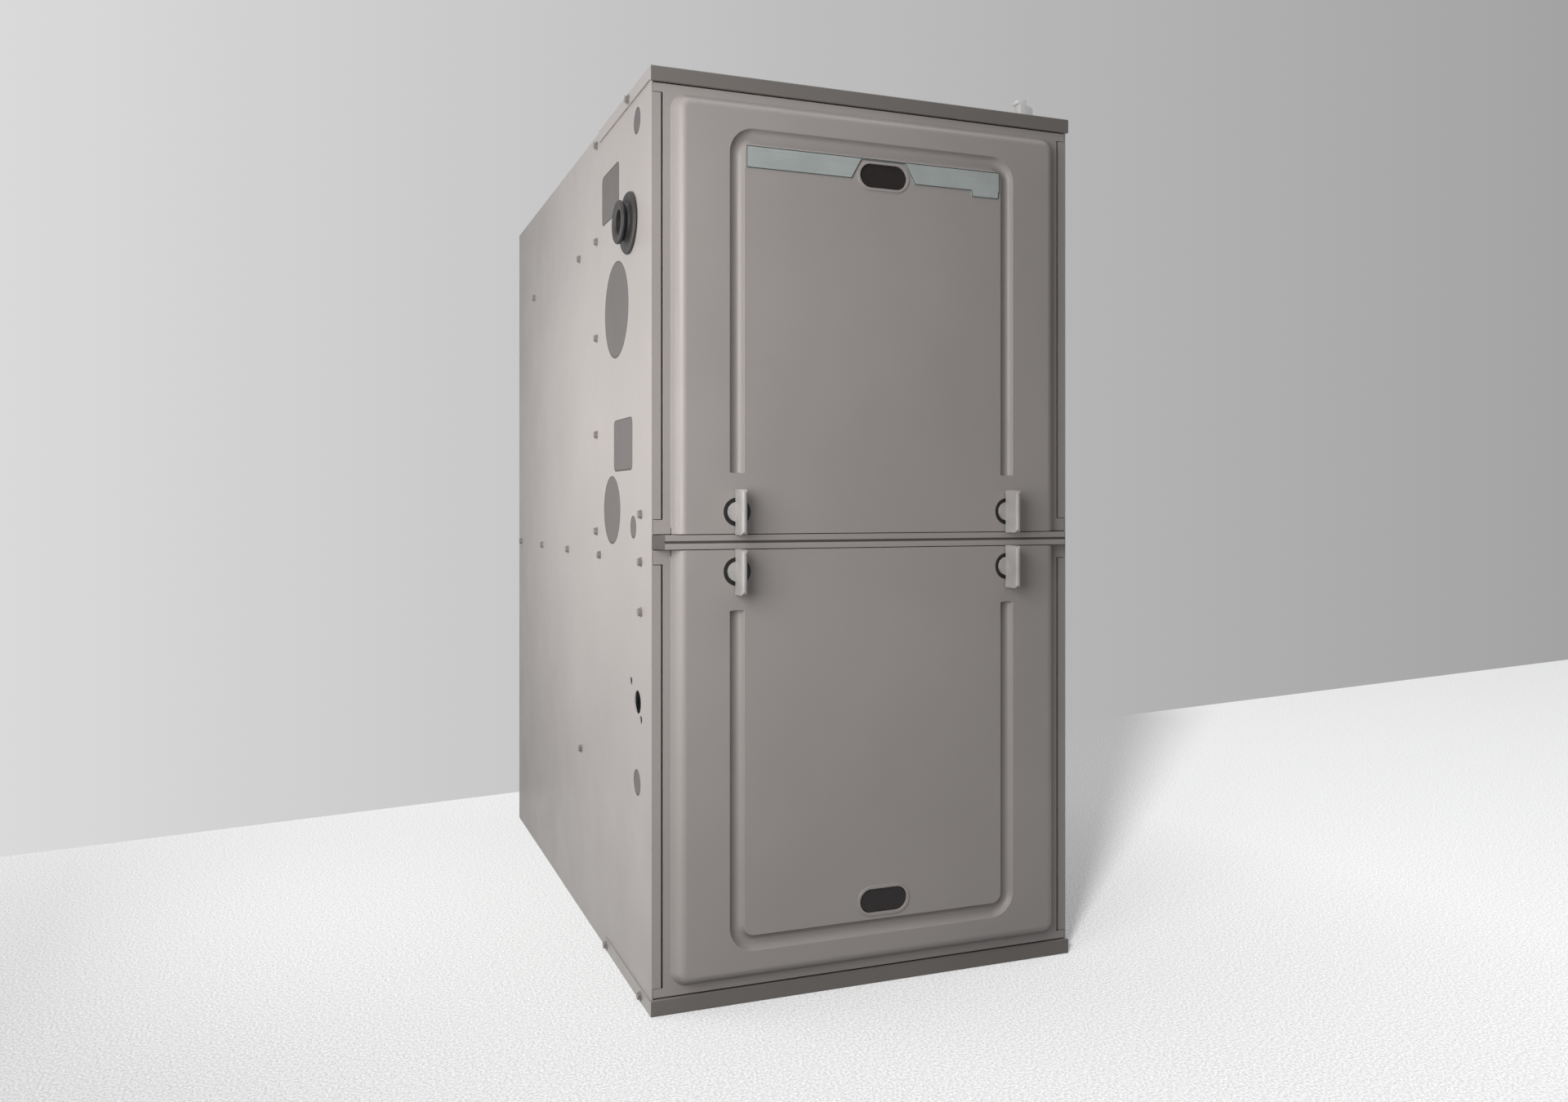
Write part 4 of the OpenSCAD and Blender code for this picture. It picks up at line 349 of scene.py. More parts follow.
FINISH = {
    "cabinet_paint": painted_sheet("cabinet_paint", PAINT),
    "galvanised_steel": zinc_sheet("galvanised_steel", srgb(196, 198, 200)),
    "screw_steel": bare_metal("screw_steel", srgb(150, 146, 143), rough=(0.3, 0.45), metal=0.6),
    "black_rubber": moulded("black_rubber", srgb(44, 42, 41), rough=(0.5, 0.66), bite=0.16, dust=0.2),
    "white_nylon": moulded("white_nylon", srgb(226, 226, 224), rough=(0.32, 0.42), dust=0.0, wear=0.0),
    "clamp_steel": bare_metal("clamp_steel", srgb(200, 200, 202)),
    "white_pipe": moulded("white_pipe", srgb(232, 231, 226), rough=(0.25, 0.36),
                          grain=300.0, bite=0.03, wear=0.0),
    "burner_steel": zinc_sheet("burner_steel", srgb(176, 172, 164), flake=160.0),
    "brass": bare_metal("brass", srgb(200, 165, 84), rough=(0.2, 0.32)),
    "black_pipe": moulded("black_pipe", srgb(46, 45, 45), rough=(0.38, 0.5), grain=500.0, wear=0.5),
    "valve_casting": bare_metal("valve_casting", srgb(168, 170, 172), rough=(0.4, 0.55),
                                across=700.0, along=700.0),
    "black_plastic": moulded("black_plastic", srgb(42, 42, 44)),
    "ceramic": moulded("ceramic", srgb(226, 222, 210), rough=(0.55, 0.7), dust=0.05, wear=0.0),
    "exchanger_steel": zinc_sheet("exchanger_steel", srgb(168, 164, 156), flake=120.0),
    "fin_aluminium": bare_metal("fin_aluminium", srgb(206, 208, 210), rough=(0.25, 0.35)),
    "wheel_steel": zinc_sheet("wheel_steel", srgb(186, 188, 190), flake=110.0),
    "shaft_steel": bare_metal("shaft_steel", srgb(190, 190, 192), rough=(0.14, 0.26)),
    "motor_paint": moulded("motor_paint", srgb(52, 52, 54), rough=(0.3, 0.42), grain=420.0, wear=0.6),
    "trap_plastic": moulded("trap_plastic", srgb(206, 205, 198), rough=(0.3, 0.42), wear=0.0),
    "circuit_board": moulded("circuit_board", srgb(36, 84, 52), rough=(0.28, 0.4), wear=0.0),
    "transformer_steel": bare_metal("transformer_steel", srgb(120, 118, 116), rough=(0.35, 0.5)),
    "can_aluminium": bare_metal("can_aluminium", srgb(204, 204, 206), rough=(0.2, 0.32)),
    "red_plastic": moulded("red_plastic", srgb(176, 38, 30), wear=0.1),
    "insulation": moulded("insulation", srgb(188, 190, 194), rough=(0.35, 0.6), grain=160.0, bite=0.5),
    "wire_insulation": moulded("wire_insulation", srgb(120, 30, 26), rough=(0.35, 0.45), wear=0.0),
    "hose_rubber": moulded("hose_rubber", srgb(44, 43, 43), rough=(0.45, 0.6)),
    "dark_glass": moulded("dark_glass", srgb(46, 41, 41), rough=(0.26, 0.36),
                          grain=60.0, bite=0.02, dust=0.0, wear=0.0),
    "trim_metal": bare_metal("trim_metal", srgb(190, 197, 194), rough=(0.34, 0.46), metal=0.35,
                             across=2200.0, along=14.0),
    "latch_plastic": moulded("latch_plastic", srgb(172, 168, 165), rough=(0.36, 0.46), wear=0.0),
}
FINISH["dark_glass"].node_tree.nodes["Principled BSDF"].inputs["Specular IOR Level"].default_value = 0.25

# second finishes, each on a part of a piece
KNOCKOUT = painted_sheet("knockout_face", srgb(90, 86, 84), rough=(0.42, 0.52))
# painted shade: a darker copy of the cabinet paint for the front lips of the top and base plates, which are the same
# paint in shade
LIP_PAINTED_SHADE = painted_sheet("lip_painted_shade", srgb(116, 111, 107))
# painted shade: a dark grey for the knockouts' cut lines with their painted shadow, and for the shade in the centre
# rail's groove
SEAM_PAINTED_SHADE = painted_sheet("seam_painted_shade", srgb(74, 70, 67), rough=(0.6, 0.7))
# painted shade: near-black for the ring in the gap round each latch knob
RING_PAINTED_SHADE = moulded("ring_painted_shade", srgb(22, 20, 20), rough=(0.55, 0.7), dust=0.0, wear=0.0)
BOARD_BLACK = moulded("board_black", srgb(38, 38, 40), rough=(0.3, 0.42), wear=0.0)
BOARD_WHITE = moulded("board_white", srgb(222, 220, 212), rough=(0.34, 0.46), wear=0.0)
BOARD_BLUE = moulded("board_blue", srgb(44, 78, 132), rough=(0.25, 0.36), wear=0.0)
WIRE_COLOURS = [moulded("wire_" + name, colour, rough=(0.32, 0.44), wear=0.0) for name, colour in (
    ("white", srgb(214, 212, 204)), ("black", srgb(40, 40, 41)),
    ("blue", srgb(38, 70, 128)), ("yellow", srgb(204, 168, 52)))]
STRIP_LINE = moulded("strip_line", srgb(64, 68, 68), rough=(0.4, 0.5), wear=0.0)
COIL_COPPER = bare_metal("transformer_winding", srgb(196, 168, 96), rough=(0.35, 0.5), metal=0.4)

SLOT_OF = {part["node"]: part["material_slot"] for part in frame["record"]["subparts"]}
BODY_OF = {node: body for body, nodes in frame["record"]["behaviour"]["bodies"].items() for node in nodes}
JOINT_AT = {joint["name"]: Vector(joint["pos_m"]) for joint in frame["joints"] if "pos_m" in joint}

for node, slot in SLOT_OF.items():
    for holder in frame["nodes"][node].material_slots:
        holder.material = FINISH[slot]

# ---------------------------------------------------------------- pieces that stand for a CAD node

# sheets with so many holes that a whole flat face folds over itself once its rims are rolled
KEPT_TRIANGLES = ("left_side_panel", "control_board")


def merged_copy(node, name):
    """A copy of a CAD node's mesh with its corners joined and its flat faces whole, in a bmesh of its own."""
    mesh = frame["nodes"][node].data.copy()
    mesh.name = name
    work = bmesh.new()
    work.from_mesh(mesh)
    bmesh.ops.remove_doubles(work, verts=work.verts, dist=0.02 * MM)
    if node not in KEPT_TRIANGLES:
        bmesh.ops.dissolve_limit(work, angle_limit=math.radians(1.0), verts=work.verts, edges=work.edges,
                                 use_dissolve_boundaries=False)
    return mesh, work


def second_finish(piece, material, chosen):
    """Gives the faces that chosen(centre) picks another finish."""
    mesh = piece.data
    mesh.materials.append(material)
    for face in mesh.polygons:
        if chosen(face.center):
            face.material_index = len(mesh.materials) - 1


def placed(name, mesh, work):
    """An object of the bmesh's shape, with smooth faces."""
    work.to_mesh(mesh)
    work.free()
    for face in mesh.polygons:
        face.use_smooth = True
    piece = bpy.data.objects.new(name, mesh)
    bpy.context.scene.collection.objects.link(piece)
    return piece


def sheet_piece(node, radius, segments=3, angle=35, name=None, shape=None):
    """A copy of a CAD node with its edges rolled by a small radius, in its place; shape(work) changes it first."""
    mesh, work = merged_copy(node, name or node + "_pressed")
    if shape:
        shape(work)
    piece = placed(mesh.name, mesh, work)
    if radius:
        bevel = piece.modifiers.new("rolled_edges", "BEVEL")
        bevel.width = radius
        bevel.segments = segments
        bevel.limit_method = "ANGLE"
        bevel.angle_limit = math.radians(angle)
        bevel.use_clamp_overlap = True
        bevel.miter_outer = "MITER_ARC"
    mesh.set_sharp_from_angle(angle=math.radians(angle))
    level = piece.modifiers.new("flat_faces_stay_flat", "WEIGHTED_NORMAL")
    level.mode = "FACE_AREA"
    level.weight = 100
    level.keep_sharp = True
    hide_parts(node)
    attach(piece, BODY_OF[node])
    return piece


# ---------------------------------------------------------------- doors

DOOR_FACE_Y = JOINT_AT["upper_left_latch_turn"].y
RAIL_Z = (JOINT_AT["upper_left_latch_turn"].z + JOINT_AT["lower_left_latch_turn"].z) / 2
LATCH_ROOM = 16.0 * MM      # from a latch's axis to where the groove may begin
GROOVE_X = 144.0 * MM       # each leg from the middle of the door
GROOVE_HALF = 8.6 * MM      # half of the groove's width, with its rims
GROOVE_RUN = 43.0 * MM      # the cross run from the door's far end
GROOVE_BEND = 17.0 * MM     # the bends' radius at the groove's centre line
GROOVE_END = 64.0 * MM      # the legs' ends from the rail, where they are squared off
GROOVE_DEEPEST = 8.0 * MM
GROOVE_FLOOR = 1.3 * MM     # what lies deeper than this is sunk
GROOVE_STRETCH = 1.42
END_SQUASH = 0.12


def deeper_groove(side):
    """Sinks the pressed groove a little further than the solid, measured from the raised face."""
    low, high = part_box(side + "_door")
    away = 1 if side == "upper" else -1
    end = (high.z if away > 0 else low.z) * away
    run_at = end - GROOVE_RUN
    groove_from = abs(JOINT_AT[side + "_left_latch_turn"].z - RAIL_Z) + RAIL_Z * away + LATCH_ROOM
    bend = Vector((GROOVE_X - GROOVE_BEND, run_at - GROOVE_BEND))

    def shape(work):
        sunk, ends = [], []
        for vert in work.verts:
            along = vert.co.z * away
            depth = vert.co.y - DOOR_FACE_Y
            if (-0.1 * MM < depth < GROOVE_DEEPEST and groove_from < along < RAIL_Z * away + GROOVE_END
                    and abs(abs(vert.co.x) - GROOVE_X) < GROOVE_HALF):
                ends.append(vert)
            if not GROOVE_FLOOR < depth < GROOVE_DEEPEST or along < groove_from:
                continue
            here = Vector((abs(vert.co.x), along))
            if here.x > bend.x and here.y > bend.y:
                off = abs((here - bend).length - GROOVE_BEND)
            elif here.y > bend.y:
                off = abs(here.y - run_at)
            else:
                off = abs(here.x - GROOVE_X)
            if off < GROOVE_HALF:
                sunk.append(vert)
        face_plane = Matrix.Translation((0, -DOOR_FACE_Y, 0))
        bmesh.ops.scale(work, vec=(1, GROOVE_STRETCH, 1), space=face_plane, verts=sunk)
        # the legs end almost square, not in a half ball
        square = Matrix.Translation((0, 0, -(RAIL_Z + GROOVE_END * away)))
        bmesh.ops.scale(work, vec=(1, 1, END_SQUASH), space=square, verts=ends)
    return shape


for side in ("upper", "lower"):
    sheet_piece(side + "_door", 0.6 * MM, shape=deeper_groove(side))

# ---------------------------------------------------------------- casing

pieces = {}
for node, radius in (
    ("back_panel", 0.5), ("top_plate", 0.4), ("base_plate", 0.4), ("centre_rail", 0.6), ("supply_flange", 0.4),
):
    pieces[node] = sheet_piece(node, radius * MM)

KNOCKOUT_BELOW = 0.4 * MM   # the knockouts' faces below the panel's face
SEAM_AND_SHADOW_WIDTH = 1.5 * MM
# the ring's inner edge moves back and up, so that the dark ring is wider at the front and below: a painted shadow of
# the knockout's rim
PAINTED_SHADOW_SHIFT = (0, 0.9 * MM, 0.6 * MM)


def knockout_seam_shadows(node, outward):
    """Lifts each knockout almost to the panel's face, inside a dark ring: the thin cut round the knockout, widened
    at the front and below into a painted shadow of the rim.
    """
    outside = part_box(node)[0 if outward < 0 else 1].x * outward

    def shape(work):
        discs = [face for face in work.faces if face.normal.x * outward > 0.5
                 and 0.5 * MM < outside - face.calc_center_median().x * outward < 4 * MM]
        flat = list({vert for face in discs for vert in face.verts})
        face_plane = Matrix.Translation((-outward * (outside - KNOCKOUT_BELOW), 0, 0))
        bmesh.ops.scale(work, vec=(0.0, 1, 1), space=face_plane, verts=flat)
        # the ring round each disc takes the dark grey: the cut line and a painted shadow beside it
        seam_shadow_ring = bmesh.ops.inset_region(work, faces=discs, thickness=SEAM_AND_SHADOW_WIDTH, depth=0.0, use_even_offset=True)
        for face in seam_shadow_ring["faces"]:
            face.material_index = 1
        for face in discs:
            face.material_index = 2
        inner = list({vert for face in discs for vert in face.verts})
        bmesh.ops.translate(work, vec=PAINTED_SHADOW_SHIFT, verts=inner)
    return shape


for node, outward in (("left_side_panel", -1), ("right_side_panel", 1)):
    panel = sheet_piece(node, 0.5 * MM, shape=knockout_seam_shadows(node, outward))
    panel.data.materials.append(SEAM_PAINTED_SHADE)
    panel.data.materials.append(KNOCKOUT)

LIP_DEPTH = 2.8 * MM
RAIL_GROOVE_SHADE_HALF = 1.4 * MM
# the front lips of the top and base plates take the darker painted shade
for node in ("top_plate", "base_plate"):
    lip_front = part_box(node)[0].y
    second_finish(pieces[node], LIP_PAINTED_SHADE, lambda centre: centre.y < lip_front + LIP_DEPTH)

# painted shade: the faces inside the centre rail's groove take the dark grey, for the shade that falls in it
rail_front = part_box("centre_rail")[0].y
second_finish(pieces["centre_rail"], SEAM_PAINTED_SHADE, lambda centre: (
    centre.y > rail_front + 0.1 * MM and abs(centre.z - RAIL_Z) < RAIL_GROOVE_SHADE_HALF))

# ---------------------------------------------------------------- trim strip, glasses and inner parts


def outlined_strip(work):
    """A thin dark line all round the strip's face."""
    front = [face for face in work.faces if face.normal.y < -0.9]
    line = bmesh.ops.inset_region(work, faces=front, thickness=0.8 * MM, depth=0.0, use_even_offset=True)
    for face in line["faces"]:
        face.material_index = 1


strip = sheet_piece("trim_strip", 0.1 * MM, segments=2, shape=outlined_strip)
strip.data.materials.append(STRIP_LINE)

# each node's radius in millimetres; round bars and hoses only have their facets smoothed
for node, radius in (
    ("upper_sight_glass", 0.6), ("lower_sight_glass", 0.6), ("gas_pipe_grommet", 0.8), ("pipe_couplings", 0.7),
    ("pipe_clamps", 0.15), ("casing_screws", 0.25), ("blower_deck", 0.4), ("vestibule_wall", 0.3),
    ("inner_pipes", 0.5), ("burner_box", 0.8), ("burners", 0.2), ("manifold_pipe", 0.4), ("gas_valve", 0.9),
    ("valve_switch", 0.5), ("rollout_switch", 0.3), ("rollout_reset_button", 0.3), ("limit_switch", 0.3),
    ("heat_exchanger_tubes", 0), ("rear_header", 0.6), ("collector_box", 1.0), ("inducer_housing", 0.8),
    ("inducer_motor", 0.4), ("pressure_switches", 0.5), ("pressure_hoses", 0), ("condensate_trap", 0.8),
    ("drain_hose", 0), ("blower_housing", 0.2), ("blower_wheel", 0), ("blower_shaft", 0.3),
    ("blower_motor", 0.5), ("motor_mount", 0.3), ("inducer_wheel", 0), ("control_plate", 0.4),
    ("control_board", 0.3), ("transformer", 0.4), ("capacitor", 0.4), ("junction_box", 0.5),
    ("door_switch", 0.3), ("door_switch_plunger", 0.3), ("wire_harness", 0),
):
    pieces[node] = sheet_piece(node, radius * MM, segments=2, name=node + "_formed")


def colours_in_turn(piece, finishes):
    """Gives the separate solids of a piece its own finish and the others, one after another."""
    mesh = piece.data
    for finish in finishes:
        mesh.materials.append(finish)
    work = bmesh.new()
    work.from_mesh(mesh)
    left = set(work.faces)
    turn = 0
    for first in work.faces:
        if first not in left:
            continue
        left.discard(first)
        rim = [first]
        while rim:
            face = rim.pop()
            face.material_index = turn % (len(finishes) + 1)
            for edge in face.edges:
                for other in edge.link_faces:
                    if other in left:
                        left.discard(other)
                        rim.append(other)
        turn += 1
    work.to_mesh(mesh)
    work.free()


# relays, processor, terminals, plugs and capacitors: centre and half size in millimetres from the board's corner
board_low, board_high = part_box("control_board")
board_front = board_high.y - 9.3 * MM   # everything in front of this stands on the board
for finish, at_x, at_z, half_x, half_z in (
    (BOARD_BLACK, 56, 88, 43.5, 9), (BOARD_BLACK, 81, 44, 14, 14), (BOARD_BLACK, 73, 7, 43, 6),
    (BOARD_WHITE, 137, 56, 7, 29), (BOARD_WHITE, 13, 56, 7, 23),
    (BOARD_BLUE, 45, 58, 7, 7), (BOARD_BLUE, 113, 28, 7, 7), (BOARD_BLUE, 115, 74, 7, 7),
):
    second_finish(pieces["control_board"], finish, lambda centre: (
        centre.y < board_front and abs(centre.x - board_low.x - at_x * MM) < half_x * MM
        and abs(centre.z - board_low.z - at_z * MM) < half_z * MM))

colours_in_turn(pieces["wire_harness"], WIRE_COLOURS)

CORE_HALF = 17.2 * MM       # the winding shows on both sides of the transformer's core
CORE_FOOT = 5.0 * MM
core_low, core_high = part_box("transformer")
core_x = (core_low.x + core_high.x) / 2
second_finish(pieces["transformer"], COIL_COPPER, lambda centre: (
    abs(centre.x - core_x) > CORE_HALF and centre.y < core_high.y - CORE_FOOT))

# ---------------------------------------------------------------- pieces of the scene's own


def finished(name, work, slot, body, material=None):
    """Turns a bmesh into a piece with its finish, riding on its body."""
    mesh = bpy.data.meshes.new(name)
    mesh.materials.append(material or FINISH[slot])
    piece = placed(name, mesh, work)
    mesh.set_sharp_from_angle(angle=math.radians(35))
    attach(piece, body)
    return piece


# the clip seen from the front, in millimetres across from its middle and up from the top plate
CLIP_OUTLINE = (
    (-7.1, 1.6), (-7.1, 19.8), (-9.4, 19.6), (-10.6, 20.6), (-10.6, 22.6), (-9.0, 24.2), (-0.6, 24.9),
    (0.3, 24.2), (0.3, 19.2), (6.9, 17.6), (8.3, 15.8), (8.3, 1.6),
)
CLIP_DEPTH = 10.0 * MM
CLIP_FOOT = (26 * MM, 12 * MM, 2 * MM)
CLIP_STEM_R, CLIP_STEM = 2.7 * MM, 6.0 * MM


def cable_clip():
    """The nylon clip near the right front corner: an upright with a hook on its left and a shoulder on its right."""
    low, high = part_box("wire_clip")
    middle = Vector(((low.x + high.x) / 2, (low.y + high.y) / 2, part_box("top_plate")[1].z))
    work = bmesh.new()
    verts = [work.verts.new(middle + Vector((x * MM, -CLIP_DEPTH / 2, z * MM))) for x, z in CLIP_OUTLINE]
    face = work.faces.new(verts)
    grown = bmesh.ops.extrude_face_region(work, geom=[face])
    moved = [item for item in grown["geom"] if isinstance(item, bmesh.types.BMVert)]
    bmesh.ops.translate(work, vec=(0, CLIP_DEPTH, 0), verts=moved)
    foot = bmesh.ops.create_cube(work, size=1.0)["verts"]
    bmesh.ops.scale(work, vec=CLIP_FOOT, verts=foot)
    bmesh.ops.translate(work, vec=middle + Vector((0, 0, 1.02 * MM)), verts=foot)
    stem = bmesh.ops.create_cone(work, cap_ends=True, segments=20, radius1=CLIP_STEM_R, radius2=CLIP_STEM_R,
                                 depth=CLIP_STEM)["verts"]
    bmesh.ops.translate(work, vec=middle - Vector((0, 0, 2 * MM)), verts=stem)
    bmesh.ops.recalc_face_normals(work, faces=work.faces)
    sharp = [edge for edge in work.edges if edge.calc_face_angle(0) > math.radians(40)]
    bmesh.ops.bevel(work, geom=sharp, offset=0.5 * MM, offset_type="OFFSET", segments=2, profile=0.5,
                    affect="EDGES", clamp_overlap=True, material=-1)
    piece = finished("cable_clip", work, "white_nylon", "casing")
    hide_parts("wire_clip")


KNOB_R = 11.0 * MM          # the knob's disc as the solid has it, and drawn in
DISC_R = 9.3 * MM
# the near-black ring between the drawn-in disc and the door's bore is painted shade of the gap
RING_R = (9.6 * MM, 13.15 * MM)
RING_DEPTH = (0.2 * MM, 5.6 * MM)
RING_ROUND = 0.4 * MM


def drawn_in_disc(axis):
    """Brings the knob's disc in to the radius that leaves room for its ring."""
    def shape(work):
        rim = [vert for vert in work.verts
               if abs(math.hypot(vert.co.x - axis.x, vert.co.z - axis.z) - KNOB_R) < 0.15 * MM]
        ratio = DISC_R / KNOB_R
        bmesh.ops.scale(work, vec=(ratio, 1, ratio), space=Matrix.Translation(-axis), verts=rim)
    return shape


def latch_ring(name, body, axis):
    """A near-black ring in the gap that the latch turns in, painted shade of that gap; one rounded section spun
    round its axis.
    """
    work = bmesh.new()
    inner, outer = RING_R
    front, back = axis.y + RING_DEPTH[0], axis.y + RING_DEPTH[1]
    section = [(inner, back), (inner, front + 0.1 * MM + RING_ROUND), (inner + RING_ROUND, front + 0.1 * MM),
               ((inner + outer) / 2, front),
               (outer - RING_ROUND, front + 0.1 * MM), (outer, front + 0.1 * MM + RING_ROUND), (outer, back)]
    verts = [work.verts.new((axis.x + radius, y, axis.z)) for radius, y in section]
    edges = [work.edges.new(pair) for pair in zip(verts, verts[1:] + verts[:1])]
    bmesh.ops.spin(work, geom=verts + edges, cent=axis, axis=(0, 1, 0), angle=math.tau, steps=72, use_merge=True)
    bmesh.ops.remove_doubles(work, verts=work.verts, dist=0.001 * MM)
    bmesh.ops.recalc_face_normals(work, faces=work.faces)
    finished(name, work, "black_rubber", body, material=RING_PAINTED_SHADE)


cable_clip()
for side in ("upper", "lower"):
    for hand in ("left", "right"):
        latch = side + "_" + hand + "_latch"
        axis = JOINT_AT[latch + "_turn"]
        sheet_piece(latch, 2.0 * MM, segments=5, angle=40, name=latch + "_knob", shape=drawn_in_disc(axis))
        latch_ring(latch + "_ring", side + "_door", axis)

# ---------------------------------------------------------------- stage and light


def stage_quad(name, corners, material):
    work = bmesh.new()
    work.faces.new([work.verts.new(corner) for corner in corners])
    mesh = bpy.data.meshes.new(name)
    work.to_mesh(mesh)
    work.free()
    mesh.materials.append(material)
    piece = bpy.data.objects.new(name, mesh)
    bpy.context.scene.collection.objects.link(piece)
    return piece


def falloff(tree, centre, near, far, low, high):
    """A value that changes with the distance from a point on the floor."""
    place = add(tree, "TexCoord")
    apart = add(tree, "VectorMath", operation="DISTANCE")
    join(tree, place.outputs["Object"], apart.inputs[0])
    apart.inputs[1].default_value = centre
    return remap(tree, apart.outputs["Value"], near, far, low, high)


def scaled_colour(tree, colour, factor):
    node = add(tree, "VectorMath", operation="SCALE")
    join(tree, colour, node.inputs[0])
    join(tree, factor, node.inputs["Scale"])
    return node.outputs["Vector"]


def seen_rays(tree):
    """1 for what the camera sees directly, in a reflection or through glass; 0 for the light thrown back."""
    ray = add(tree, "LightPath")
    seen = do_math(tree, "MAXIMUM", ray.outputs["Is Camera Ray"], ray.outputs["Is Glossy Ray"])
    return do_math(tree, "MAXIMUM", seen, ray.outputs["Is Transmission Ray"])


FLOOR_NEAR = (-0.65, -0.45, 0.0)    # under the nearest lamps, where the floor's own white is lowest
FLOOR_REACH = (0.1, 1.4)
FLOOR_GAIN = (0.38, 0.645)
FLOOR_GLOW = 0.45
FLOOR_BOUNCE = 0.1


def floor_finish():
    """White floor with a very fine speckle, plain white to the eye and a mid grey to the light it throws back."""
    material = bpy.data.materials.new("speckled_floor")
    material.use_nodes = True
    tree = material.node_tree
    tree.nodes.clear()
    out = tree.nodes.new("ShaderNodeOutputMaterial")
    speckle = effect(tree, PEEL, Scale=420.0, Soft=0.95)
    fleck = remap(tree, speckle, 0.36, 0.64, 0.0, 1.0)
    near_light = falloff(tree, FLOOR_NEAR, *FLOOR_REACH, *FLOOR_GAIN)
    speckled = blend_colour(tree, fleck, srgb(214, 214, 214), srgb(255, 255, 255))
    seen_colour = scaled_colour(tree, speckled, near_light)
    seen = seen_rays(tree)
    matt = tree.nodes.new("ShaderNodeBsdfDiffuse")
    thrown_back = shade(srgb(255, 255, 255), FLOOR_BOUNCE)
    join(tree, blend_colour(tree, seen, thrown_back, seen_colour), matt.inputs["Color"])
    glow = add(tree, "Emission", Strength=FLOOR_GLOW)
    join(tree, seen_colour, glow.inputs["Color"])
    dark = add(tree, "Emission", Strength=0.0)
    glow_mix = add(tree, "MixShader")
    join(tree, seen, glow_mix.inputs["Fac"])
    join(tree, dark.outputs[0], glow_mix.inputs[1])
    join(tree, glow.outputs[0], glow_mix.inputs[2])
    both = tree.nodes.new("ShaderNodeAddShader")
    join(tree, matt.outputs[0], both.inputs[0])
    join(tree, glow_mix.outputs[0], both.inputs[1])
    join(tree, both.outputs[0], out.inputs[0])
    return material


# the wall's grey at columns of the photograph
WALL_TONES = ((0, 218), (320, 209), (640, 200), (960, 190), (1280, 181), (1600, 172), (1910, 163))


def wall_foot(px):
    """The row of the photograph where the wall meets the floor."""
    return 1050 - 242 * px / PHOTO_W


def wall_finish(start, along, length):
    """A grey wall that fades from light on the left to darker on the right, and is clear from behind."""
    material = bpy.data.materials.new("fading_wall")
    material.use_nodes = True
    tree = material.node_tree
    tree.nodes.clear()
    out = tree.nodes.new("ShaderNodeOutputMaterial")
    place = add(tree, "TexCoord")
    offset = add(tree, "VectorMath", operation="SUBTRACT")
    join(tree, place.outputs["Object"], offset.inputs[0])
    offset.inputs[1].default_value = start
    run = add(tree, "VectorMath", operation="DOT_PRODUCT")
    join(tree, offset.outputs["Vector"], run.inputs[0])
    run.inputs[1].default_value = along
    fade = add(tree, "ValToRGB")
    join(tree, remap(tree, run.outputs["Value"], 0.0, length, 0.0, 1.0), fade.inputs["Fac"])
    for number, (px, grey) in enumerate(WALL_TONES):
        share = (floor_point(px, wall_foot(px)) - start).length / length
        stop = fade.color_ramp.elements[0] if number == 0 else fade.color_ramp.elements.new(share)
        stop.position = share
        stop.color = srgb(grey, grey, grey)
    fade.color_ramp.elements.remove(fade.color_ramp.elements[len(WALL_TONES)])
    glow = add(tree, "Emission", Strength=1.0)
    join(tree, fade.outputs["Color"], glow.inputs["Color"])
    clear = add(tree, "BsdfTransparent")
    facing = add(tree, "NewGeometry")
    front = do_math(tree, "SUBTRACT", 1.0, facing.outputs["Backfacing"])
    mix = add(tree, "MixShader")
    join(tree, do_math(tree, "MULTIPLY", seen_rays(tree), front), mix.inputs["Fac"])
    join(tree, clear.outputs[0], mix.inputs[1])
    join(tree, glow.outputs[0], mix.inputs[2])
    join(tree, mix.outputs[0], out.inputs[0])
    return material


FLOOR_HALF = 9.0
floor = stage_quad("studio_floor", [(-FLOOR_HALF, -FLOOR_HALF, 0), (FLOOR_HALF, -FLOOR_HALF, 0),
                                    (FLOOR_HALF, FLOOR_HALF, 0), (-FLOOR_HALF, FLOOR_HALF, 0)], floor_finish())

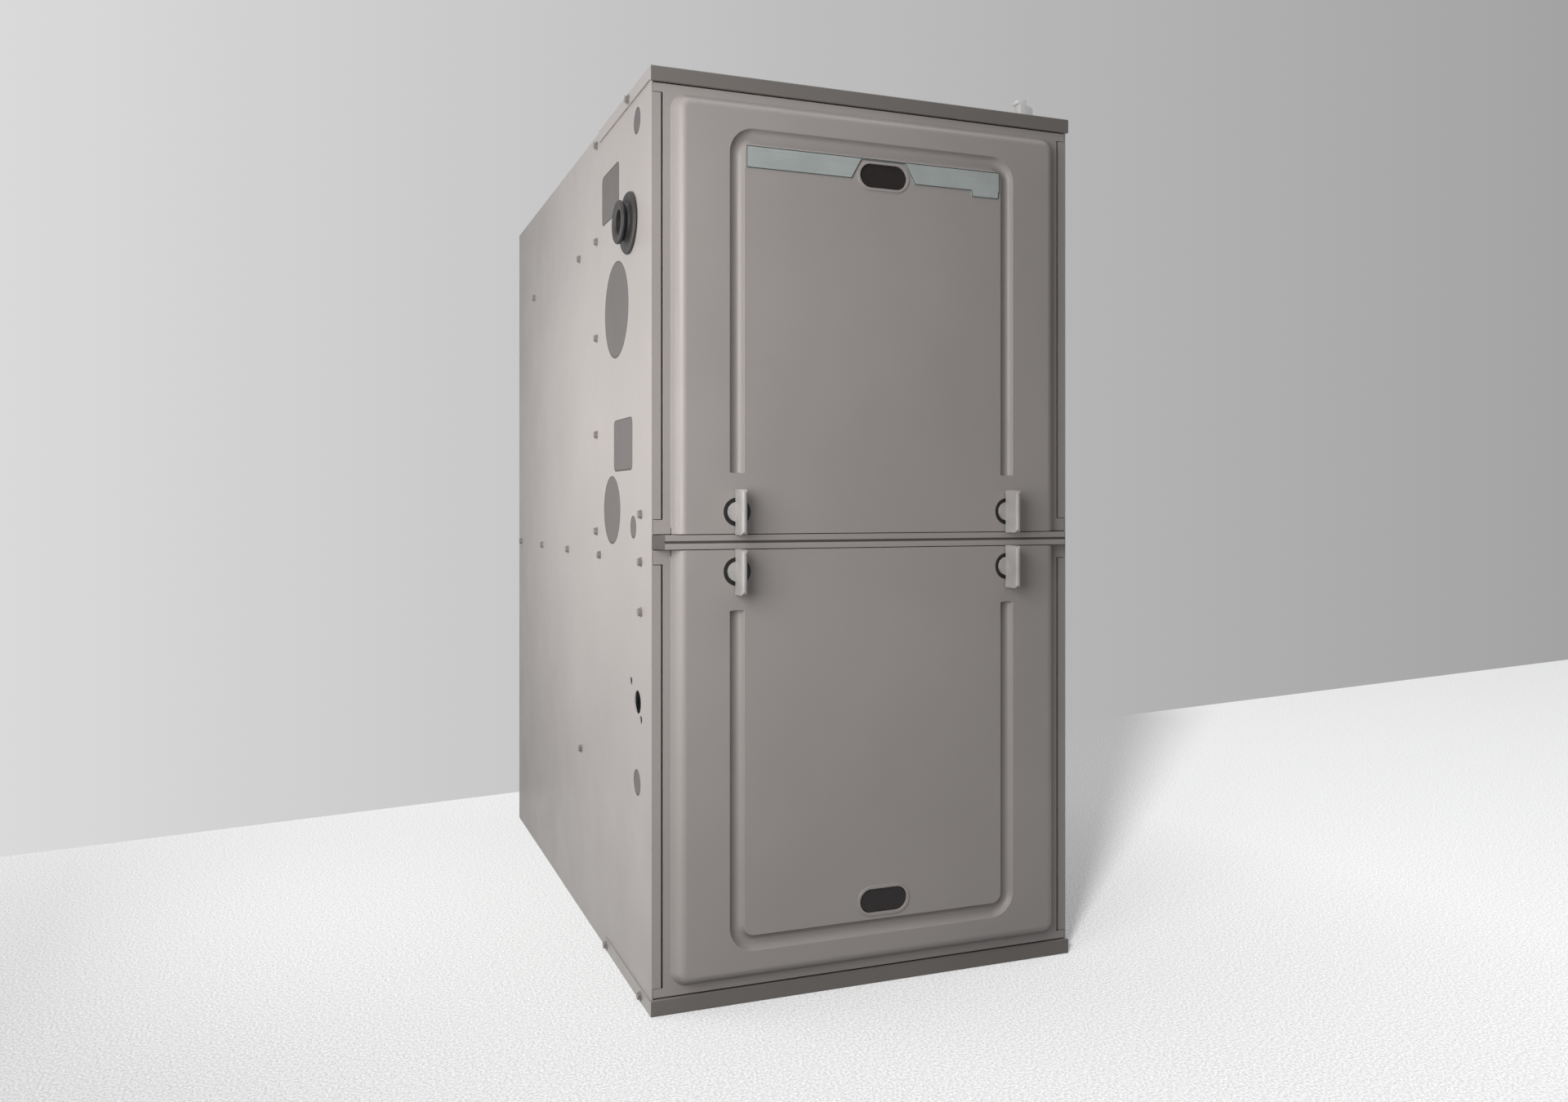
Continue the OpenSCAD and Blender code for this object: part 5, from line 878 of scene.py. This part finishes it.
WALL_H = 3.2
WALL_PAST = (1.4, 3.0)      # how far the wall runs on past the picture's left and right edges
wall_left, wall_right = floor_point(0, wall_foot(0)), floor_point(PHOTO_W, wall_foot(PHOTO_W))
wall_run = wall_right - wall_left
wall_length = wall_run.length
wall_run.normalize()
wall_start, wall_end = wall_left - wall_run * WALL_PAST[0], wall_right + wall_run * WALL_PAST[1]
stage_quad("studio_wall", [tuple(wall_start), tuple(wall_end),
                           (wall_end.x, wall_end.y, WALL_H), (wall_start.x, wall_start.y, WALL_H)],
           wall_finish(wall_left, wall_run, wall_length))


def soft_light(name, place, target, size, power):
    data = bpy.data.lights.new(name, "AREA")
    data.shape = "RECTANGLE"
    data.size, data.size_y = size
    data.energy = power
    lamp = bpy.data.objects.new(name, data)
    lamp.visible_camera = False
    lamp.location = place
    lamp.rotation_euler = (Vector(target) - Vector(place)).to_track_quat("-Z", "Y").to_euler()
    bpy.context.scene.collection.objects.link(lamp)
    return lamp


soft_light("key_softbox", (-0.76, -0.08, 0.54), (-0.2, -0.05, 0.52), (0.4, 0.4), 3.1)
soft_light("front_softbox", (-0.85, -0.95, 0.71), (-0.15, -0.36, 0.54), (0.7, 0.8), 10.1)
soft_light("top_softbox", (-0.2, -0.6, 3.1), (0, -0.2, 0), (3.0, 3.0), 38)
back_fill = soft_light("back_softbox", (1.05, 1.9, 1.0), (0.1, 0.1, 0.45), (1.2, 1.2), 32)

# the lamp behind would brighten the floor in the picture, so the floor takes none of its light
all_but_floor = bpy.data.collections.new("all_but_floor")
all_but_floor.objects.link(floor)
all_but_floor.collection_objects[0].light_linking.link_state = "EXCLUDE"
back_fill.light_linking.receiver_collection = all_but_floor


def shadow_light(target, heading, height, power, spread):
    """A low lamp from the front left that lights only the floor, so that the casing's shadow falls on it."""
    data = bpy.data.lights.new("floor_shadow_lamp", "SUN")
    data.energy = power
    data.angle = math.radians(spread)
    lamp = bpy.data.objects.new("floor_shadow_lamp", data)
    lamp.rotation_euler = (math.radians(90 - height), 0, math.radians(heading))
    bpy.context.scene.collection.objects.link(lamp)
    takers = bpy.data.collections.new("floor_only")
    takers.objects.link(target)
    lamp.light_linking.receiver_collection = takers


shadow_light(floor, heading=-44.0, height=28.0, power=4.6, spread=7.0)

world = bpy.data.worlds.new("studio_air")
bpy.context.scene.world = world
world.use_nodes = True
air = world.node_tree.nodes["Background"]
air.inputs["Color"].default_value = (0.96, 0.97, 1.0, 1)
air.inputs["Strength"].default_value = 0.2

bpy.context.scene.view_settings.view_transform = "Standard"
